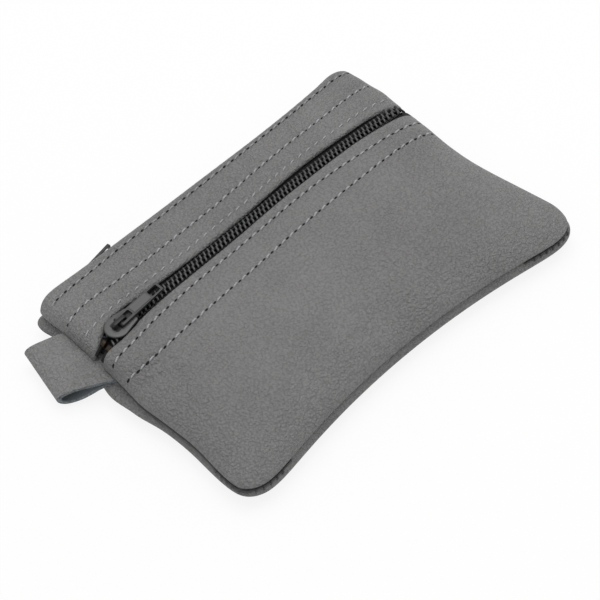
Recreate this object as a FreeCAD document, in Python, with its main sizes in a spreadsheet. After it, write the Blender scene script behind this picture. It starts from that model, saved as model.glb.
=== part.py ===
import FreeCAD, Part
import math
import os
import Sketcher

# Soft leather key case that lies on its back: a flat pouch with a zipped front pocket, a zipped main
# compartment along its top edge, a folded leather loop in its left seam and a key ring on a strap inside.
# Millimetres. The origin is the middle of the flat face that it rests on, +Z goes up through the front,
# +X runs along the zips to the right end and +Y to the top edge.

Vector = FreeCAD.Vector
UP = Vector(0, 0, 1)

# Driving sizes: name, value, what it is

SIZES = [
    # Pouch outline, seen from above
    ("left_reach", 60.4, "middle to the left seam at its ends"),
    ("left_draw", 0.3, "how far the left seam is drawn in at its middle"),
    ("right_reach", 60.4, "middle to the right seam at its upper end"),
    ("right_draw", 2.4, "how far the right seam is drawn in at its middle"),
    ("right_flare", 4.6, "how much further out the right seam's lower end would lie"),
    ("bottom_reach", 48.2, "middle to the bottom seam at its corners, were they sharp"),
    ("bottom_draw", 8.0, "how far the bottom seam is drawn in at its middle"),
    ("bottom_skew", 1.15, "how much lower the right bottom corner lies than the middle of both"),
    ("top_reach", 40.0, "middle to the last row of the top edge at its corners"),
    ("top_draw", 1.4, "how far the top edge is drawn in at its middle"),
    ("corner_lift", 6.5, "how far a rounded bottom corner lies above its sharp corner"),
    ("corner_inset", 3.5, "how far the side seams are drawn in for it"),
    ("top_corner_inset", 0.8, "the same, both ways, for a top corner"),
    # Pouch heights
    ("seam_height", 6.2, "table to the side and bottom seams"),
    ("crown_rise", 9.3, "seam to the top of the front's crown"),
    ("crown_place", -6.0, "where along Y the crown is highest"),
    ("lower_drop", 1.2, "fall of the crown towards the bottom seam"),
    ("lip_rise", 7.0, "seam to the leather's top at the pocket's lips"),
    ("top_edge_rise", 6.1, "seam to the leather's top at the top edge"),
    ("back_sag", 0.35, "how far the slack back would hang below the table"),
    # Leather and linings
    ("leather", 1.2, "thickness of the leather"),
    ("fold", 0.7, "extra thickness where the skived edge is folded under"),
    ("fold_width", 7.5, "width of the folded edge"),
    ("lining", 0.4, "thickness of the lining cloth"),
    ("lining_gap", 0.1, "between the leather and the lining in the back"),
    ("divider_rise", 2.2, "seam to the pocket lining over the middle"),
    ("divider_top_rise", 3.3, "seam to the pocket lining at its upper end"),
    ("divider_margin", 1.9, "outline to the edge of the pocket lining"),
    ("seat_gap", 0.1, "between the leather and the zip tape sewn to it"),
    ("divider_recess", 4.6, "top edge to the upper end of the pocket lining"),
    # Zips, alike in the pocket and along the top edge
    ("pocket_zip_recess", 22.0, "top edge to the middle of the pocket zip"),
    ("lip_clearance", 0.35, "between the slider and the leather lips"),
    ("tape_thickness", 0.5, "zip tape"),
    ("tape_inner", 0.85, "zip's middle to the tape's inner edge"),
    ("tape_outer", 8.6, "zip's middle to the tape's outer edge"),
    ("tape_neck", 3.5, "zip's middle to the tape's edge at its narrow ends"),
    ("tape_recess", 3.2, "left seam to the tapes"),
    ("left_neck", 4.7, "length of the tape's narrow left end"),
    ("right_neck", 16.9, "right seam to where the tape narrows"),
    ("left_bend_radius", 2.6, "bend of the pocket tapes down to the left seam"),
    ("zip_bend_recess", 11.4, "right seam to where the pocket zip bends down to it"),
    ("zip_bend_radius", 9.0, "bend of the pocket zip's right end"),
    ("main_tape_recess", 5.4, "right seam to the top edge's tapes"),
    ("flange_reach", 6.2, "how far the top edge's tapes reach in under the leather"),
    ("flange_bend", 1.05, "outer radius of the bend in the top edge's tapes"),
    ("main_zip_recess", 1.5, "leather's edge to the tapes of the top zip"),
    ("coil_pitch", 1.2, "from one turn of a coil to the next"),
    ("coil_turn", 0.5, "width of one turn"),
    ("coil_height", 1.7, "tape to the top of the coil"),
    ("coil_head", 0.55, "how far a turn reaches past the zip's middle"),
    ("coil_heel", 1.95, "zip's middle to the back of a turn"),
    ("coil_spine", 0.5, "width of the joined backs of the turns"),
    ("coil_recess", 2.3, "left end of the tapes to the coils"),
    ("coil_spread", 1.2, "how far a coil stands aside where the zip is open"),
    # Slider
    ("pocket_slider_recess", 10.6, "left seam to the middle of the closed pocket slider"),
    ("main_slider_recess", 13.0, "left seam to the middle of the closed top slider"),
    ("slider_half_length", 4.5, "half the slider's length"),
    ("nose_half_width", 3.65, "half width and radius of the slider's nose"),
    ("tail_half_width", 2.65, "half width of the slider's tail"),
    ("wing_thickness", 0.7, "upper plate of the slider"),
    ("lower_wing_thickness", 0.6, "lower plate of the slider"),
    ("lower_wing_inset", 0.5, "how much narrower the lower plate is, on each side"),
    ("coil_clearance", 0.1, "between the slider and the coils"),
    ("tape_clearance", 0.15, "between the slider's lower plate and the tapes"),
    ("flange_clearance", 0.25, "between the slider's side walls and the tapes"),
    ("wedge_half_width", 0.5, "half width of the wedge that parts the coils"),
    ("wedge_front", 3.6, "slider's middle to the wedge's front tip"),
    ("wedge_wide", 1.9, "slider's middle to the wedge's widest place"),
    ("wedge_back", 0.7, "slider's middle to the wedge's back tip"),
    ("bridge_half_length", 2.4, "half length of the bridge that holds the puller"),
    ("bridge_half_width", 0.65, "half width of the bridge"),
    ("bridge_thickness", 0.6, "thickness of the bridge"),
    # Puller
    ("bar_radius", 0.45, "round bar of the puller under the bridge, and half the puller's thickness"),
    ("bar_clearance", 0.12, "between the bar and the slider"),
    ("puller_length", 15.4, "bar to the puller's free end"),
    ("puller_half_width", 1.8, "half width of the puller"),
    ("puller_corner", 0.45, "rounding of the puller's corners"),
    ("window_end", 4.3, "bar to the far end of the window that the bridge passes through"),
    ("window_half_width", 1.05, "half width of that window"),
    ("panel_start", 4.9, "bar to the raised panel"),
    ("panel_end", 10.9, "bar to the raised panel's far end"),
    ("panel_half_width", 1.3, "half width of the raised panel"),
    ("panel_rise", 0.12, "height of the raised panel"),
    ("eye_start", 11.5, "bar to the square hole"),
    ("eye_end", 14.75, "bar to the square hole's far end"),
    ("eye_half_width", 1.15, "half width of the square hole"),
    ("main_puller_tilt_deg", 11.0, "how far the top puller stands off its zip at rest"),
    # Top stops
    ("stop_length", 1.6, "stop along the zip"),
    ("stop_reach", 1.4, "stop across the tape"),
    ("stop_wall", 0.5, "wall of the clamped stop"),
    # Loop in the left seam
    ("loop_recess", 19.2, "top edge to the middle of the loop's root"),
    ("loop_width", 18.0, "width of the loop"),
    ("loop_leather", 1.1, "thickness of the loop's leather"),
    ("loop_reach", 12.6, "left seam to the loop's fold"),
    ("loop_inside", 3.6, "how far its ends reach inside the seam"),
    ("loop_top", 8.0, "table to the highest place of the loop"),
    ("loop_foot", 0.55, "table to the loop's lowest place"),
    ("loop_turn_deg", 8.0, "how far the loop leans towards the top edge"),
    ("slot_clearance", 0.1, "around the loop's ends in the seam"),
    # Key ring and its strap
    ("strap_place", -9.0, "middle of the strap along Y"),
    ("strap_width", 9.0, "width of the strap"),
    ("strap_leather", 1.1, "thickness of the strap"),
    ("strap_recess", 3.8, "left seam to the strap's sewn end"),
    ("strap_root_drop", 0.6, "seam to the middle of the strap's end"),
    ("strap_length", 18.0, "its end to the middle of the fold that holds the ring"),
    ("strap_lift", 0.45, "between the lining and the strap"),
    ("ring_radius", 11.4, "middle radius of the key ring"),
    ("ring_band", 1.9, "width of the ring's wire, along the radius"),
    ("ring_wire", 1.05, "height of the ring's wire"),
    ("ring_gap", 0.1, "between the ring's two turns"),
    ("ring_play", 0.35, "between the ring and the strap's fold"),
    ("overrun", 1.0, "how far a cut runs past what it cuts"),
]

# Pure numbers: shares of a size, and powers that say how boxy a pillowed outline is

BODY_END_SHARES = 6.0
LEFT_END_SHARES = 36.0
RIGHT_END_SHARES = 12.0
BOTTOM_ROLL_SHARES = 11.0
BOTTOM_CORNER_SHARES = 16.0
CORNER_LENGTH_SHARES = 24.0
CORNER_WIDTH_SHARES = 16.0
FIRM_START_SHARE = 0.25
FOLD_RADIUS_SHARE = 0.45
FOLD_ROW_SHARES = (1.3, 0.7, 0.0)
NET_COLUMN_COUNT = 18
NOSE_ROW_COUNT = 4

doc = FreeCAD.newDocument("key_case")
sheet = doc.addObject("Spreadsheet::Sheet", "Sizes")
for line, (alias, value, note) in enumerate(SIZES, start=1):
    sheet.set("A%d" % line, note)
    sheet.set("B%d" % line, str(value))
    sheet.setAlias("B%d" % line, alias)
doc.recompute()


class SheetSizes:
    """Gives each size of the sheet by its name."""

    def __getattr__(self, alias):
        return float(sheet.get(alias))


S = SheetSizes()
parts = []


def keep(feature, label):
    """Names a finished sub-part and lists it for export."""
    feature.Label = label
    parts.append(feature)
    return feature


def plain_feature(label, shape, placement=None):
    """A sub-part whose shape is worked out in code."""
    feature = doc.addObject("Part::Feature", label)
    feature.Shape = shape
    if placement is not None:
        feature.Placement = placement
    return keep(feature, label)


# Levels and places that follow from the driving sizes

hem = S.leather + S.fold
pocket_zip_y = S.top_reach - S.pocket_zip_recess
loop_y = S.top_reach - S.loop_recess
pocket_tape_level = S.seam_height + S.lip_rise - hem - S.seat_gap
lip_distance = S.nose_half_width + S.lip_clearance + hem / 2
lower_lip = pocket_zip_y - lip_distance
upper_lip = pocket_zip_y + lip_distance
top_edge_level = S.seam_height + S.top_edge_rise
main_zip_level = top_edge_level / 2
main_tape_plane = S.top_reach - S.top_draw + hem / 2 - S.main_zip_recess
wing_base = S.coil_height + S.coil_clearance
wing_top = wing_base + S.wing_thickness
lower_wing_top = -S.tape_thickness - S.tape_clearance
bar_level = wing_top + S.bar_clearance + S.bar_radius
divider_end = S.top_reach - S.divider_recess
tape_left = S.left_reach - S.tape_recess
coil_left = tape_left - S.coil_recess
zip_bend_start = S.right_reach - S.zip_bend_recess
strap_start = S.left_reach - S.strap_recess
main_tape_right = S.right_reach - S.main_tape_recess


def ease(share):
    """Smooth step from 0 to 1 with level ends."""
    share = min(1.0, max(0.0, share))
    return share * share * (3 - 2 * share)


# Form of the pouch. p runs from -1 at the left seam to 1 at the right one.


def bottom_edge(p):
    """Y of the bottom seam: drawn in at the middle, rounded off at the corners."""
    drawn = S.bottom_draw * (1 - p * p) + S.corner_lift * abs(p) ** BOTTOM_CORNER_SHARES
    return -(S.bottom_reach + S.bottom_skew * p - drawn)


def top_edge(p):
    """Y of the top edge's last row."""
    drawn = S.top_draw * (1 - p * p) + S.top_corner_inset * abs(p) ** CORNER_LENGTH_SHARES
    return S.top_reach - drawn


def lower_lip_edge(p):
    """Y of the lower panel's folded edge, which is straight."""
    return lower_lip


def upper_lip_edge(p):
    """Y of the upper panel's folded edge, which is straight."""
    return upper_lip


def divider_edge(p):
    """Y of the pocket lining's upper edge, which is straight."""
    return divider_end


def side_x(p, y):
    """X at share p of the way to the side seam, which is drawn in at its middle and flares at the lower right."""
    share = y / (S.bottom_reach if y < 0 else S.top_reach)
    inset = S.corner_inset if y < 0 else S.top_corner_inset
    reach, draw = (S.left_reach, S.left_draw) if p < 0 else (S.right_reach, S.right_draw)
    if p > 0 and y < 0:
        reach, draw = reach + S.right_flare, draw + S.right_flare
    return p * (reach - draw * (1 - share * share) - inset * abs(share) ** CORNER_WIDTH_SHARES)


def pillow(p, y):
    """0 on the side and bottom seams, 1 over the stuffed middle, boxy at the ends beside the zips."""
    firm = ease((y - FIRM_START_SHARE * S.crown_place) / (lower_lip - FIRM_START_SHARE * S.crown_place))
    stiff = LEFT_END_SHARES if p < 0 else RIGHT_END_SHARES
    power = BODY_END_SHARES + (stiff - BODY_END_SHARES) * firm
    across = math.sqrt(max(0.0, 1 - abs(p) ** power))
    left = (top_edge(p) - y) / (top_edge(p) - bottom_edge(p))
    along = math.sqrt(max(0.0, 1 - min(1.0, left) ** BOTTOM_ROLL_SHARES))
    return across * along


def front_rise(y):
    """Rise of the front over the seam along its middle: a crown that falls to the pocket's lips."""
    if y < S.crown_place:
        fall = (S.crown_place - y) / (S.bottom_reach + S.crown_place)
        return S.crown_rise - S.lower_drop * fall * fall
    if y < lower_lip:
        fall = (y - S.crown_place) / (lower_lip - S.crown_place)
        return S.crown_rise - (S.crown_rise - S.lip_rise) * fall * fall
    flat_end = upper_lip + S.fold_width
    return S.lip_rise - (S.lip_rise - S.top_edge_rise) * ease((y - flat_end) / (S.top_reach - flat_end))


def back_rise(y):
    """The slack back hangs a little lower than the table, where it is cut flat."""
    return -S.seam_height - S.back_sag


def floor_rise(y):
    """Down to the table, which the inner faces of the back are measured from."""
    return -S.seam_height


def divider_rise(y):
    """The lining that parts the front pocket from the main compartment."""
    lift = ease((y - upper_lip) / (divider_end - upper_lip))
    return S.divider_rise + (S.divider_top_rise - S.divider_rise) * lift


COLUMNS = [math.sin(math.radians(180.0 * i / NET_COLUMN_COUNT - 90)) for i in range(NET_COLUMN_COUNT + 1)]


def seam_rows(y_end, count):
    """Shares of the way from the bottom seam to y_end, close together at the seam and the folded edge."""
    length = y_end + S.bottom_reach
    fold_rows = [1 - share * S.fold_width / length for share in FOLD_ROW_SHARES]
    rows = [1 - math.cos(math.pi / 2 * i / count) for i in range(count + 1)]
    return [row for row in rows if row < fold_rows[0] - (rows[-1] - rows[-2]) / 2] + fold_rows


def skin(rise, start, end, shares, depths, inset, free=False):
    """Rows of poles of one side of a sheet, from the edge start(p) to the edge end(p).

    depths say how far each row lies inside the pouch's outer form, inset does so at the seams. A free
    start is no seam and keeps its place."""
    rows = []
    for share, depth in zip(shares, depths):
        row = []
        for p in COLUMNS:
            y = start(p) + (end(p) - start(p)) * share
            height = rise(y) - math.copysign(depth, rise(y))
            plan_y = y if free else y + inset * (1 - share)
            row.append(Vector(side_x(p, y) - p * inset, plan_y, S.seam_height + height * pillow(p, y)))
        rows.append(row)
    return rows


# Spline faces from nets of poles. All nets share their knots, so that neighbours share their edges.


def knots(count, degree):
    inner = count - degree - 1
    return [degree + 1] + [1] * inner + [degree + 1], [float(k) for k in range(inner + 2)]


def spline_face(rows):
    u_degree = min(3, len(rows) - 1)
    v_degree = min(3, len(rows[0]) - 1)
    u_mults, u_knots = knots(len(rows), u_degree)
    v_mults, v_knots = knots(len(rows[0]), v_degree)
    surface = Part.BSplineSurface()
    surface.buildFromPolesMultsKnots(rows, u_mults, v_mults, u_knots, v_knots, False, False, u_degree, v_degree)
    return surface.toShape()


def spline_edge(points):
    degree = min(3, len(points) - 1)
    mults, values = knots(len(points), degree)
    curve = Part.BSplineCurve()
    curve.buildFromPolesMultsKnots(points, mults, values, False, degree)
    return curve.toShape()


def unit(vector):
    return vector * (1 / vector.Length)


def nose_rows(outer, inner, before):
    """Rows round a folded edge, from the outer row to the inner one, bulging away from the row before."""
    rows = []
    for i in range(NOSE_ROW_COUNT + 1):
        turn = math.pi * i / NOSE_ROW_COUNT
        row = []
        for above, below, previous in zip(outer, inner, before):
            half = (above - below) * 0.5
            away = unit(above - previous) * half.Length
            row.append(above - half + half * math.cos(turn) + away * math.sin(turn))
        rows.append(row)
    rows[0], rows[-1] = outer, inner
    return rows


def column(rows, index):
    return [row[index] for row in rows]


def chain(points):
    return [Part.makeLine(a, b) for a, b in zip(points, points[1:])]


def closed_solid(faces, label):
    shell = Part.Shell(faces)
    shell.sewShape()
    solid = Part.Solid(shell)
    if solid.Volume < 0:
        solid.reverse()
    if not solid.isValid() or not solid.isClosed():
        raise RuntimeError("%s is an open or invalid sheet" % label)
    return solid


def smooth_strips(rows):
    """Faces of a net, one for each pair of columns: curved along the columns, straight across."""
    pairs = zip(range(len(rows[0]) - 1), range(1, len(rows[0])))
    return [spline_face([[row[i], row[j]] for row in rows]) for i, j in pairs]


def flat_facets(rows):
    """Plain faces of a net that stays out of sight: two triangles for each of its cells."""
    facets = []
    for low, high in zip(rows, rows[1:]):
        for a, b, c, d in zip(low, low[1:], high[1:], high):
            facets += [Part.Face(Part.makePolygon(ring)) for ring in ((a, b, c, a), (a, c, d, a))]
    return facets


def sheet_solid(outer, inner, label, seam_at_start=True, smooth=True, square=False):
    """Sheet between two nets of poles, its outside smooth or faceted, its free edges round or square."""
    faces = (smooth_strips(outer) if smooth else flat_facets(outer)) + flat_facets(inner)
    ends = [(outer[-1], inner[-1], outer[-2])]
    if not seam_at_start:
        ends.append((outer[0], inner[0], outer[1]))
    noses = []
    for above, below, before in ends:
        noses.append([above, below] if square else nose_rows(above, below, before))
        faces += flat_facets(noses[-1])

    def side_edges(index):
        """Edges of the sheet's cut face at one side: smooth outside, straight pieces elsewhere."""
        edges = [spline_edge(column(outer, index))] if smooth else chain(column(outer, index))
        for rows in [inner] + noses:
            edges += chain(column(rows, index))
        return edges

    if seam_at_start:
        rims = [side_edges(0) + side_edges(-1) + chain(outer[0]) + chain(inner[0])]
    else:
        rims = [side_edges(index) for index in (0, -1)]
    faces += [Part.Face(Part.Wire(Part.__sortEdges__(rim))) for rim in rims]
    return closed_solid(faces, label)


def fold_depth(distance):
    """Thickness of the leather at a distance from its folded edge."""
    return S.leather + S.fold * ease(2 * (1 - distance / S.fold_width))


# Slot that the loop's ends take in the left seam

loop_turn = FreeCAD.Rotation(UP, -S.loop_turn_deg)
loop_root = Vector(side_x(-1, loop_y), loop_y, S.seam_height)


def loop_slot():
    length = S.loop_inside + S.overrun + S.loop_inside
    width = S.loop_width + 2 * S.slot_clearance
    height = 2 * (S.loop_leather + S.slot_clearance)
    slot = Part.makeBox(length, width, height, Vector(-length / 2, -width / 2, -height / 2))
    slot.Placement = FreeCAD.Placement(loop_root, loop_turn)
    return slot


# Leather panels

ROW_SHARES_LOWER = seam_rows(lower_lip, 7)
ROW_SHARES_UPPER = [i / 4 for i in range(5)]
ROW_SHARES_BACK = seam_rows(S.top_reach, 8)
ROW_SHARES_LINING = ROW_SHARES_BACK[: 1 - len(FOLD_ROW_SHARES)]


def flat_depths(depth, shares):
    return [depth] * len(shares)


def front_lower_panel():
    shares = ROW_SHARES_LOWER
    outer = skin(front_rise, bottom_edge, lower_lip_edge, shares, flat_depths(0.0, shares), 0.0)
    depths = [fold_depth((1 - share) * (lower_lip + S.bottom_reach)) for share in shares]
    inner = skin(front_rise, bottom_edge, lower_lip_edge, shares, depths, S.leather)
    solid = sheet_solid(outer, inner, "front_lower_panel")
    plain_feature("front_lower_panel", solid.cut(loop_slot()))


def front_upper_panel():
    shares = ROW_SHARES_UPPER
    outer = skin(front_rise, upper_lip_edge, top_edge, shares, flat_depths(0.0, shares), 0.0, free=True)
    depths = [fold_depth(min(share, 1 - share) * (S.top_reach - upper_lip)) for share in shares]
    inner = skin(front_rise, upper_lip_edge, top_edge, shares, depths, S.leather, free=True)
    solid = sheet_solid(outer, inner, "front_upper_panel", seam_at_start=False)
    plain_feature("front_upper_panel", solid.cut(loop_slot()))


def back_panel():
    shares = ROW_SHARES_BACK
    outer = skin(back_rise, bottom_edge, top_edge, shares, flat_depths(0.0, shares), 0.0)
    depths = [fold_depth((1 - share) * (S.top_reach + S.bottom_reach)) for share in shares]
    inner = skin(floor_rise, bottom_edge, top_edge, shares, depths, S.leather)
    solid = sheet_solid(outer, inner, "back_panel", smooth=False)
    reach = 2 * S.left_reach
    below = Part.makeBox(2 * reach, 2 * reach, reach, Vector(-reach, -reach, -reach))
    plain_feature("back_panel", solid.cut(below).cut(loop_slot()))


# Linings


def cloth(label, rise, end, shares, depth, inset):
    """Thin cloth from the seams towards the edge end(p), depth inside the leather's outer form."""
    outer = skin(rise, bottom_edge, end, shares, flat_depths(depth, shares), inset)
    inner = skin(rise, bottom_edge, end, shares, flat_depths(depth + S.lining, shares), inset + S.lining)
    solid = sheet_solid(outer, inner, label, smooth=False, square=True)
    plain_feature(label, solid.cut(loop_slot()))


def linings():
    back_depth = S.leather + S.lining_gap
    cloth("back_lining", floor_rise, top_edge, ROW_SHARES_LINING, back_depth, back_depth)
    cloth("pocket_lining", divider_rise, divider_edge, ROW_SHARES_BACK, 0.0, S.divider_margin)


# Helpers for bodies made of sketches


def new_body(name):
    return doc.addObject("PartDesign::Body", name)


def origin_plane(body, role):
    return [plane for plane in body.Origin.OriginFeatures if plane.Role == role][0]


def new_sketch(body, role, offset=0.0):
    sketch = body.newObject("Sketcher::SketchObject", "Sketch")
    sketch.AttachmentSupport = [(origin_plane(body, role), "")]
    sketch.MapMode = "FlatFace"
    sketch.AttachmentOffset = FreeCAD.Placement(Vector(0, 0, offset), FreeCAD.Rotation())
    return sketch


def outline(sketch, points, closed=True):
    """Straight outline through (x, y) pairs. A third value rounds that corner to the radius."""
    count = len(points)
    starts, ends, arcs = [], [], []
    for i, corner in enumerate(points):
        here = Vector(corner[0], corner[1], 0)
        if len(corner) == 2:
            starts.append(here)
            ends.append(here)
            arcs.append(None)
            continue
        before = Vector(points[i - 1][0], points[i - 1][1], 0)
        after = Vector(points[(i + 1) % count][0], points[(i + 1) % count][1], 0)
        back, on = unit(before - here), unit(after - here)
        half = back.getAngle(on) / 2
        reach = corner[2] / math.tan(half)
        middle = here + unit(back + on) * (corner[2] / math.sin(half) - corner[2])
        starts.append(here + back * reach)
        ends.append(here + on * reach)
        arcs.append(Part.Arc(starts[-1], middle, ends[-1]))
    for i in range(count):
        if arcs[i] is not None:
            sketch.addGeometry(arcs[i], False)
        following = (i + 1) % count
        if (ends[i] - starts[following]).Length > 0:
            sketch.addGeometry(Part.LineSegment(ends[i], starts[following]), False)


def rectangle(sketch, left, right, low, high):
    """Rectangle whose four sides are bound to expressions of the sheet."""
    side = S.overrun
    corners = [Vector(), Vector(side, 0, 0), Vector(side, side, 0), Vector(0, side, 0)]
    lines = [Part.LineSegment(corners[i], corners[(i + 1) % 4]) for i in range(4)]
    sketch.addGeometry(lines, False)
    for i in range(4):
        sketch.addConstraint(Sketcher.Constraint("Coincident", i, 2, (i + 1) % 4, 1))
    for i, kind in enumerate(("Horizontal", "Vertical", "Horizontal", "Vertical")):
        sketch.addConstraint(Sketcher.Constraint(kind, i))
    ties = (("DistanceX", 0, 1, left), ("DistanceX", 1, 1, right), ("DistanceY", 0, 1, low), ("DistanceY", 2, 1, high))
    for kind, line, end, expression in ties:
        point = corners[line]
        start = point.x if kind == "DistanceX" else point.y
        index = sketch.addConstraint(Sketcher.Constraint(kind, -1, 1, line, end, start))
        sketch.setExpression("Constraints[%d]" % index, expression)


def pad(body, sketch, length, midplane=False, reverse=False):
    feature = body.newObject("PartDesign::Pad", "Pad")
    feature.Profile = sketch
    feature.setExpression("Length", length)
    feature.Midplane = midplane
    feature.Reversed = reverse
    return feature


def pocket(body, sketch, length, midplane=False, reverse=False):
    """Cut into the body; it has to take some volume away."""
    doc.recompute()
    before = body.Shape.Volume
    feature = body.newObject("PartDesign::Pocket", "Pocket")
    feature.Profile = sketch
    feature.setExpression("Length", length)
    feature.Midplane = midplane
    feature.Reversed = reverse
    doc.recompute()
    if body.Shape.Volume >= before:
        raise RuntimeError("a pocket of %s cuts nothing" % body.Name)
    return feature


# Loop and strap: a strip folded back on itself, as a closed outline padded to the strip's width


def strip_outline(sketch, legs_end, root, leather, peak, foot, reach):
    """Two legs that lie together up to the root, part round a bore and meet in a rounded fold.

    x runs inwards from the fold's side at -reach; peak and foot are the outer heights."""
    fold_radius = (peak - foot) * FOLD_RADIUS_SHARE
    fold_centre = (peak + foot) / 2
    fold_x = -reach + fold_radius
    top_x = -reach / 2

    def ring(offset):
        """Points of one side of the strip: root, top, start, middle and end of the fold, bottom."""
        radius = fold_radius - offset
        return (
            Vector(root, leather - offset, 0),
            Vector(top_x, peak - offset, 0),
            Vector(fold_x, fold_centre + radius, 0),
            Vector(fold_x - radius, fold_centre, 0),
            Vector(fold_x, fold_centre - radius, 0),
            Vector(top_x, foot + offset, 0),
            Vector(root, offset - leather, 0),
        )

    outer = ring(0.0)
    inner = ring(leather)
    sketch.addGeometry(Part.LineSegment(Vector(legs_end, leather, 0), outer[0]), False)
    sketch.addGeometry(Part.Arc(outer[0], outer[1], outer[2]), False)
    sketch.addGeometry(Part.Arc(outer[2], outer[3], outer[4]), False)
    sketch.addGeometry(Part.Arc(outer[4], outer[5], outer[6]), False)
    sketch.addGeometry(Part.LineSegment(outer[6], Vector(legs_end, -leather, 0)), False)
    sketch.addGeometry(Part.LineSegment(Vector(legs_end, -leather, 0), Vector(legs_end, leather, 0)), False)
    bore_root = Vector(root - leather, 0, 0)
    sketch.addGeometry(Part.Arc(bore_root, inner[1], inner[2]), False)
    sketch.addGeometry(Part.Arc(inner[2], inner[3], inner[4]), False)
    sketch.addGeometry(Part.Arc(inner[4], inner[5], bore_root), False)


def side_loop():
    body = new_body("side_loop")
    sketch = new_sketch(body, "XZ_Plane")
    lean = S.loop_width / 2 * math.sin(math.radians(S.loop_turn_deg))
    strip_outline(
        sketch,
        S.loop_inside,
        -lean - S.slot_clearance,
        S.loop_leather,
        S.loop_top - S.seam_height,
        S.loop_foot - S.seam_height,
        S.loop_reach,
    )
    pad(body, sketch, "Sizes.loop_width", midplane=True)
    body.Placement = FreeCAD.Placement(loop_root, loop_turn)
    keep(body, "side_loop")


strap_floor = S.leather + S.lining_gap + S.lining + S.strap_lift
ring_height = 2 * S.ring_wire + S.ring_gap
bore_half = ring_height / 2 + S.ring_play
strap_level = strap_floor + S.strap_leather + bore_half
fold_half_length = S.ring_band / 2 + S.ring_play
ring_inside = S.ring_radius - S.ring_band / 2
ring_sag = ring_inside - math.sqrt(ring_inside ** 2 - (S.strap_width / 2) ** 2)
pivot = Vector(S.strap_length - strap_start, S.strap_place, strap_level)


def key_strap():
    """Strap from the left seam, folded round the ring: two legs and an oblong eye."""
    body = new_body("key_strap")
    sketch = new_sketch(body, "XZ_Plane")
    wall = S.strap_leather
    outside = bore_half + wall
    back = pivot.x - fold_half_length + S.ring_play
    front = max(back + S.ring_play, pivot.x + fold_half_length + ring_sag - bore_half)
    neck = back - bore_half - 2 * wall
    end = -strap_start
    rise = S.seam_height - S.strap_root_drop - pivot.z
    corners = (
        (front, outside),
        (back, outside),
        (neck, wall),
        (end, rise + wall),
        (end, rise - wall),
        (neck, -wall),
        (back, -outside),
        (front, -outside),
    )
    inner = ((front, bore_half), (back, bore_half), (neck + wall, 0.0), (back, -bore_half), (front, -bore_half))
    for points in (corners, inner):
        for start, stop in zip(points, points[1:]):
            sketch.addGeometry(Part.LineSegment(Vector(*start, 0), Vector(*stop, 0)), False)
    for radius in (outside, bore_half):
        tip = Vector(front + radius, 0, 0)
        sketch.addGeometry(Part.Arc(Vector(front, radius, 0), tip, Vector(front, -radius, 0)), False)
    pad(body, sketch, "Sizes.strap_width", midplane=True)
    body.Placement = FreeCAD.Placement(Vector(0, pivot.y, pivot.z), FreeCAD.Rotation())
    keep(body, "key_strap")


RAMP_DEG = 24.0


def key_ring():
    """Split ring: two flat turns of wire, joined by a short ramp."""
    inside, outside = S.ring_radius - S.ring_band / 2, S.ring_radius + S.ring_band / 2
    section = [(inside, 0.0), (outside, 0.0), (outside, S.ring_wire), (inside, S.ring_wire)]

    def wire_at(angle_deg, level):
        points = [Vector(x, 0, z + level) for x, z in section]
        wire = Part.makePolygon(points + points[:1])
        wire.rotate(Vector(), UP, angle_deg)
        return wire

    step = S.ring_wire + S.ring_gap
    low = Part.Face(wire_at(RAMP_DEG, 0.0)).revolve(Vector(), UP, 360 - 2 * RAMP_DEG)
    high = Part.Face(wire_at(0.0, step)).revolve(Vector(), UP, 360 - 2 * RAMP_DEG)
    ramp = Part.makeLoft([wire_at(-RAMP_DEG, 0.0), wire_at(0.0, step)], True, True)
    ring = low.fuse([ramp, high]).removeSplitter()
    place = Vector(pivot.x + S.ring_radius, pivot.y, pivot.z - ring_height / 2)
    plain_feature("key_ring", ring, FreeCAD.Placement(place, FreeCAD.Rotation(UP, RAMP_DEG)))


# Zips. Each zip is modelled along X with its tapes' outer face at zero height, w across and n outwards.

POCKET = FreeCAD.Placement(Vector(0, pocket_zip_y, pocket_tape_level), FreeCAD.Rotation())
MAIN = FreeCAD.Placement(Vector(0, main_tape_plane, main_zip_level), FreeCAD.Rotation(Vector(1, 0, 0), -90))
BEND_DEG = 50.0
bend_turn = math.radians(BEND_DEG)


def pocket_tape(label, side):
    """Flat tape that bends down to the right seam, narrower at both ends, where the leather closes in."""
    body = new_body(label)
    sketch = new_sketch(body, "XZ_Plane")
    thick = S.tape_thickness
    ends = []
    for facing, start, radius in ((-1, tape_left, S.left_bend_radius), (1, zip_bend_start, S.zip_bend_radius)):
        centre = Vector(facing * start, -radius, 0)
        outer, inner = (
            [centre + Vector(facing * math.sin(share * bend_turn), math.cos(share * bend_turn), 0) * reach
             for share in (0.0, 0.5, 1.0)]
            for reach in (radius, radius - thick)
        )
        sketch.addGeometry(Part.Arc(*outer), False)
        sketch.addGeometry(Part.Arc(*inner), False)
        sketch.addGeometry(Part.LineSegment(outer[2], inner[2]), False)
        ends.append((outer[0], inner[0]))
    for left, right in zip(*ends):
        sketch.addGeometry(Part.LineSegment(left, right), False)
    sketch.AttachmentOffset = FreeCAD.Placement(Vector(0, 0, -side * S.tape_inner), FreeCAD.Rotation())
    pad(body, sketch, "Sizes.tape_outer - Sizes.tape_inner", reverse=side > 0)
    far = S.tape_outer + S.overrun
    for low, high in ((-S.left_reach, -(tape_left - S.left_neck)), (S.right_reach - S.right_neck, S.left_reach)):
        notch = new_sketch(body, "XY_Plane", S.overrun)
        corners = ((low, S.tape_neck), (high, S.tape_neck), (high, far), (low, far))
        outline(notch, [(x, side * y) for x, y in corners])
        pocket(body, notch, "2 * Sizes.zip_bend_radius")
    body.Placement = POCKET
    keep(body, label)


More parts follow.
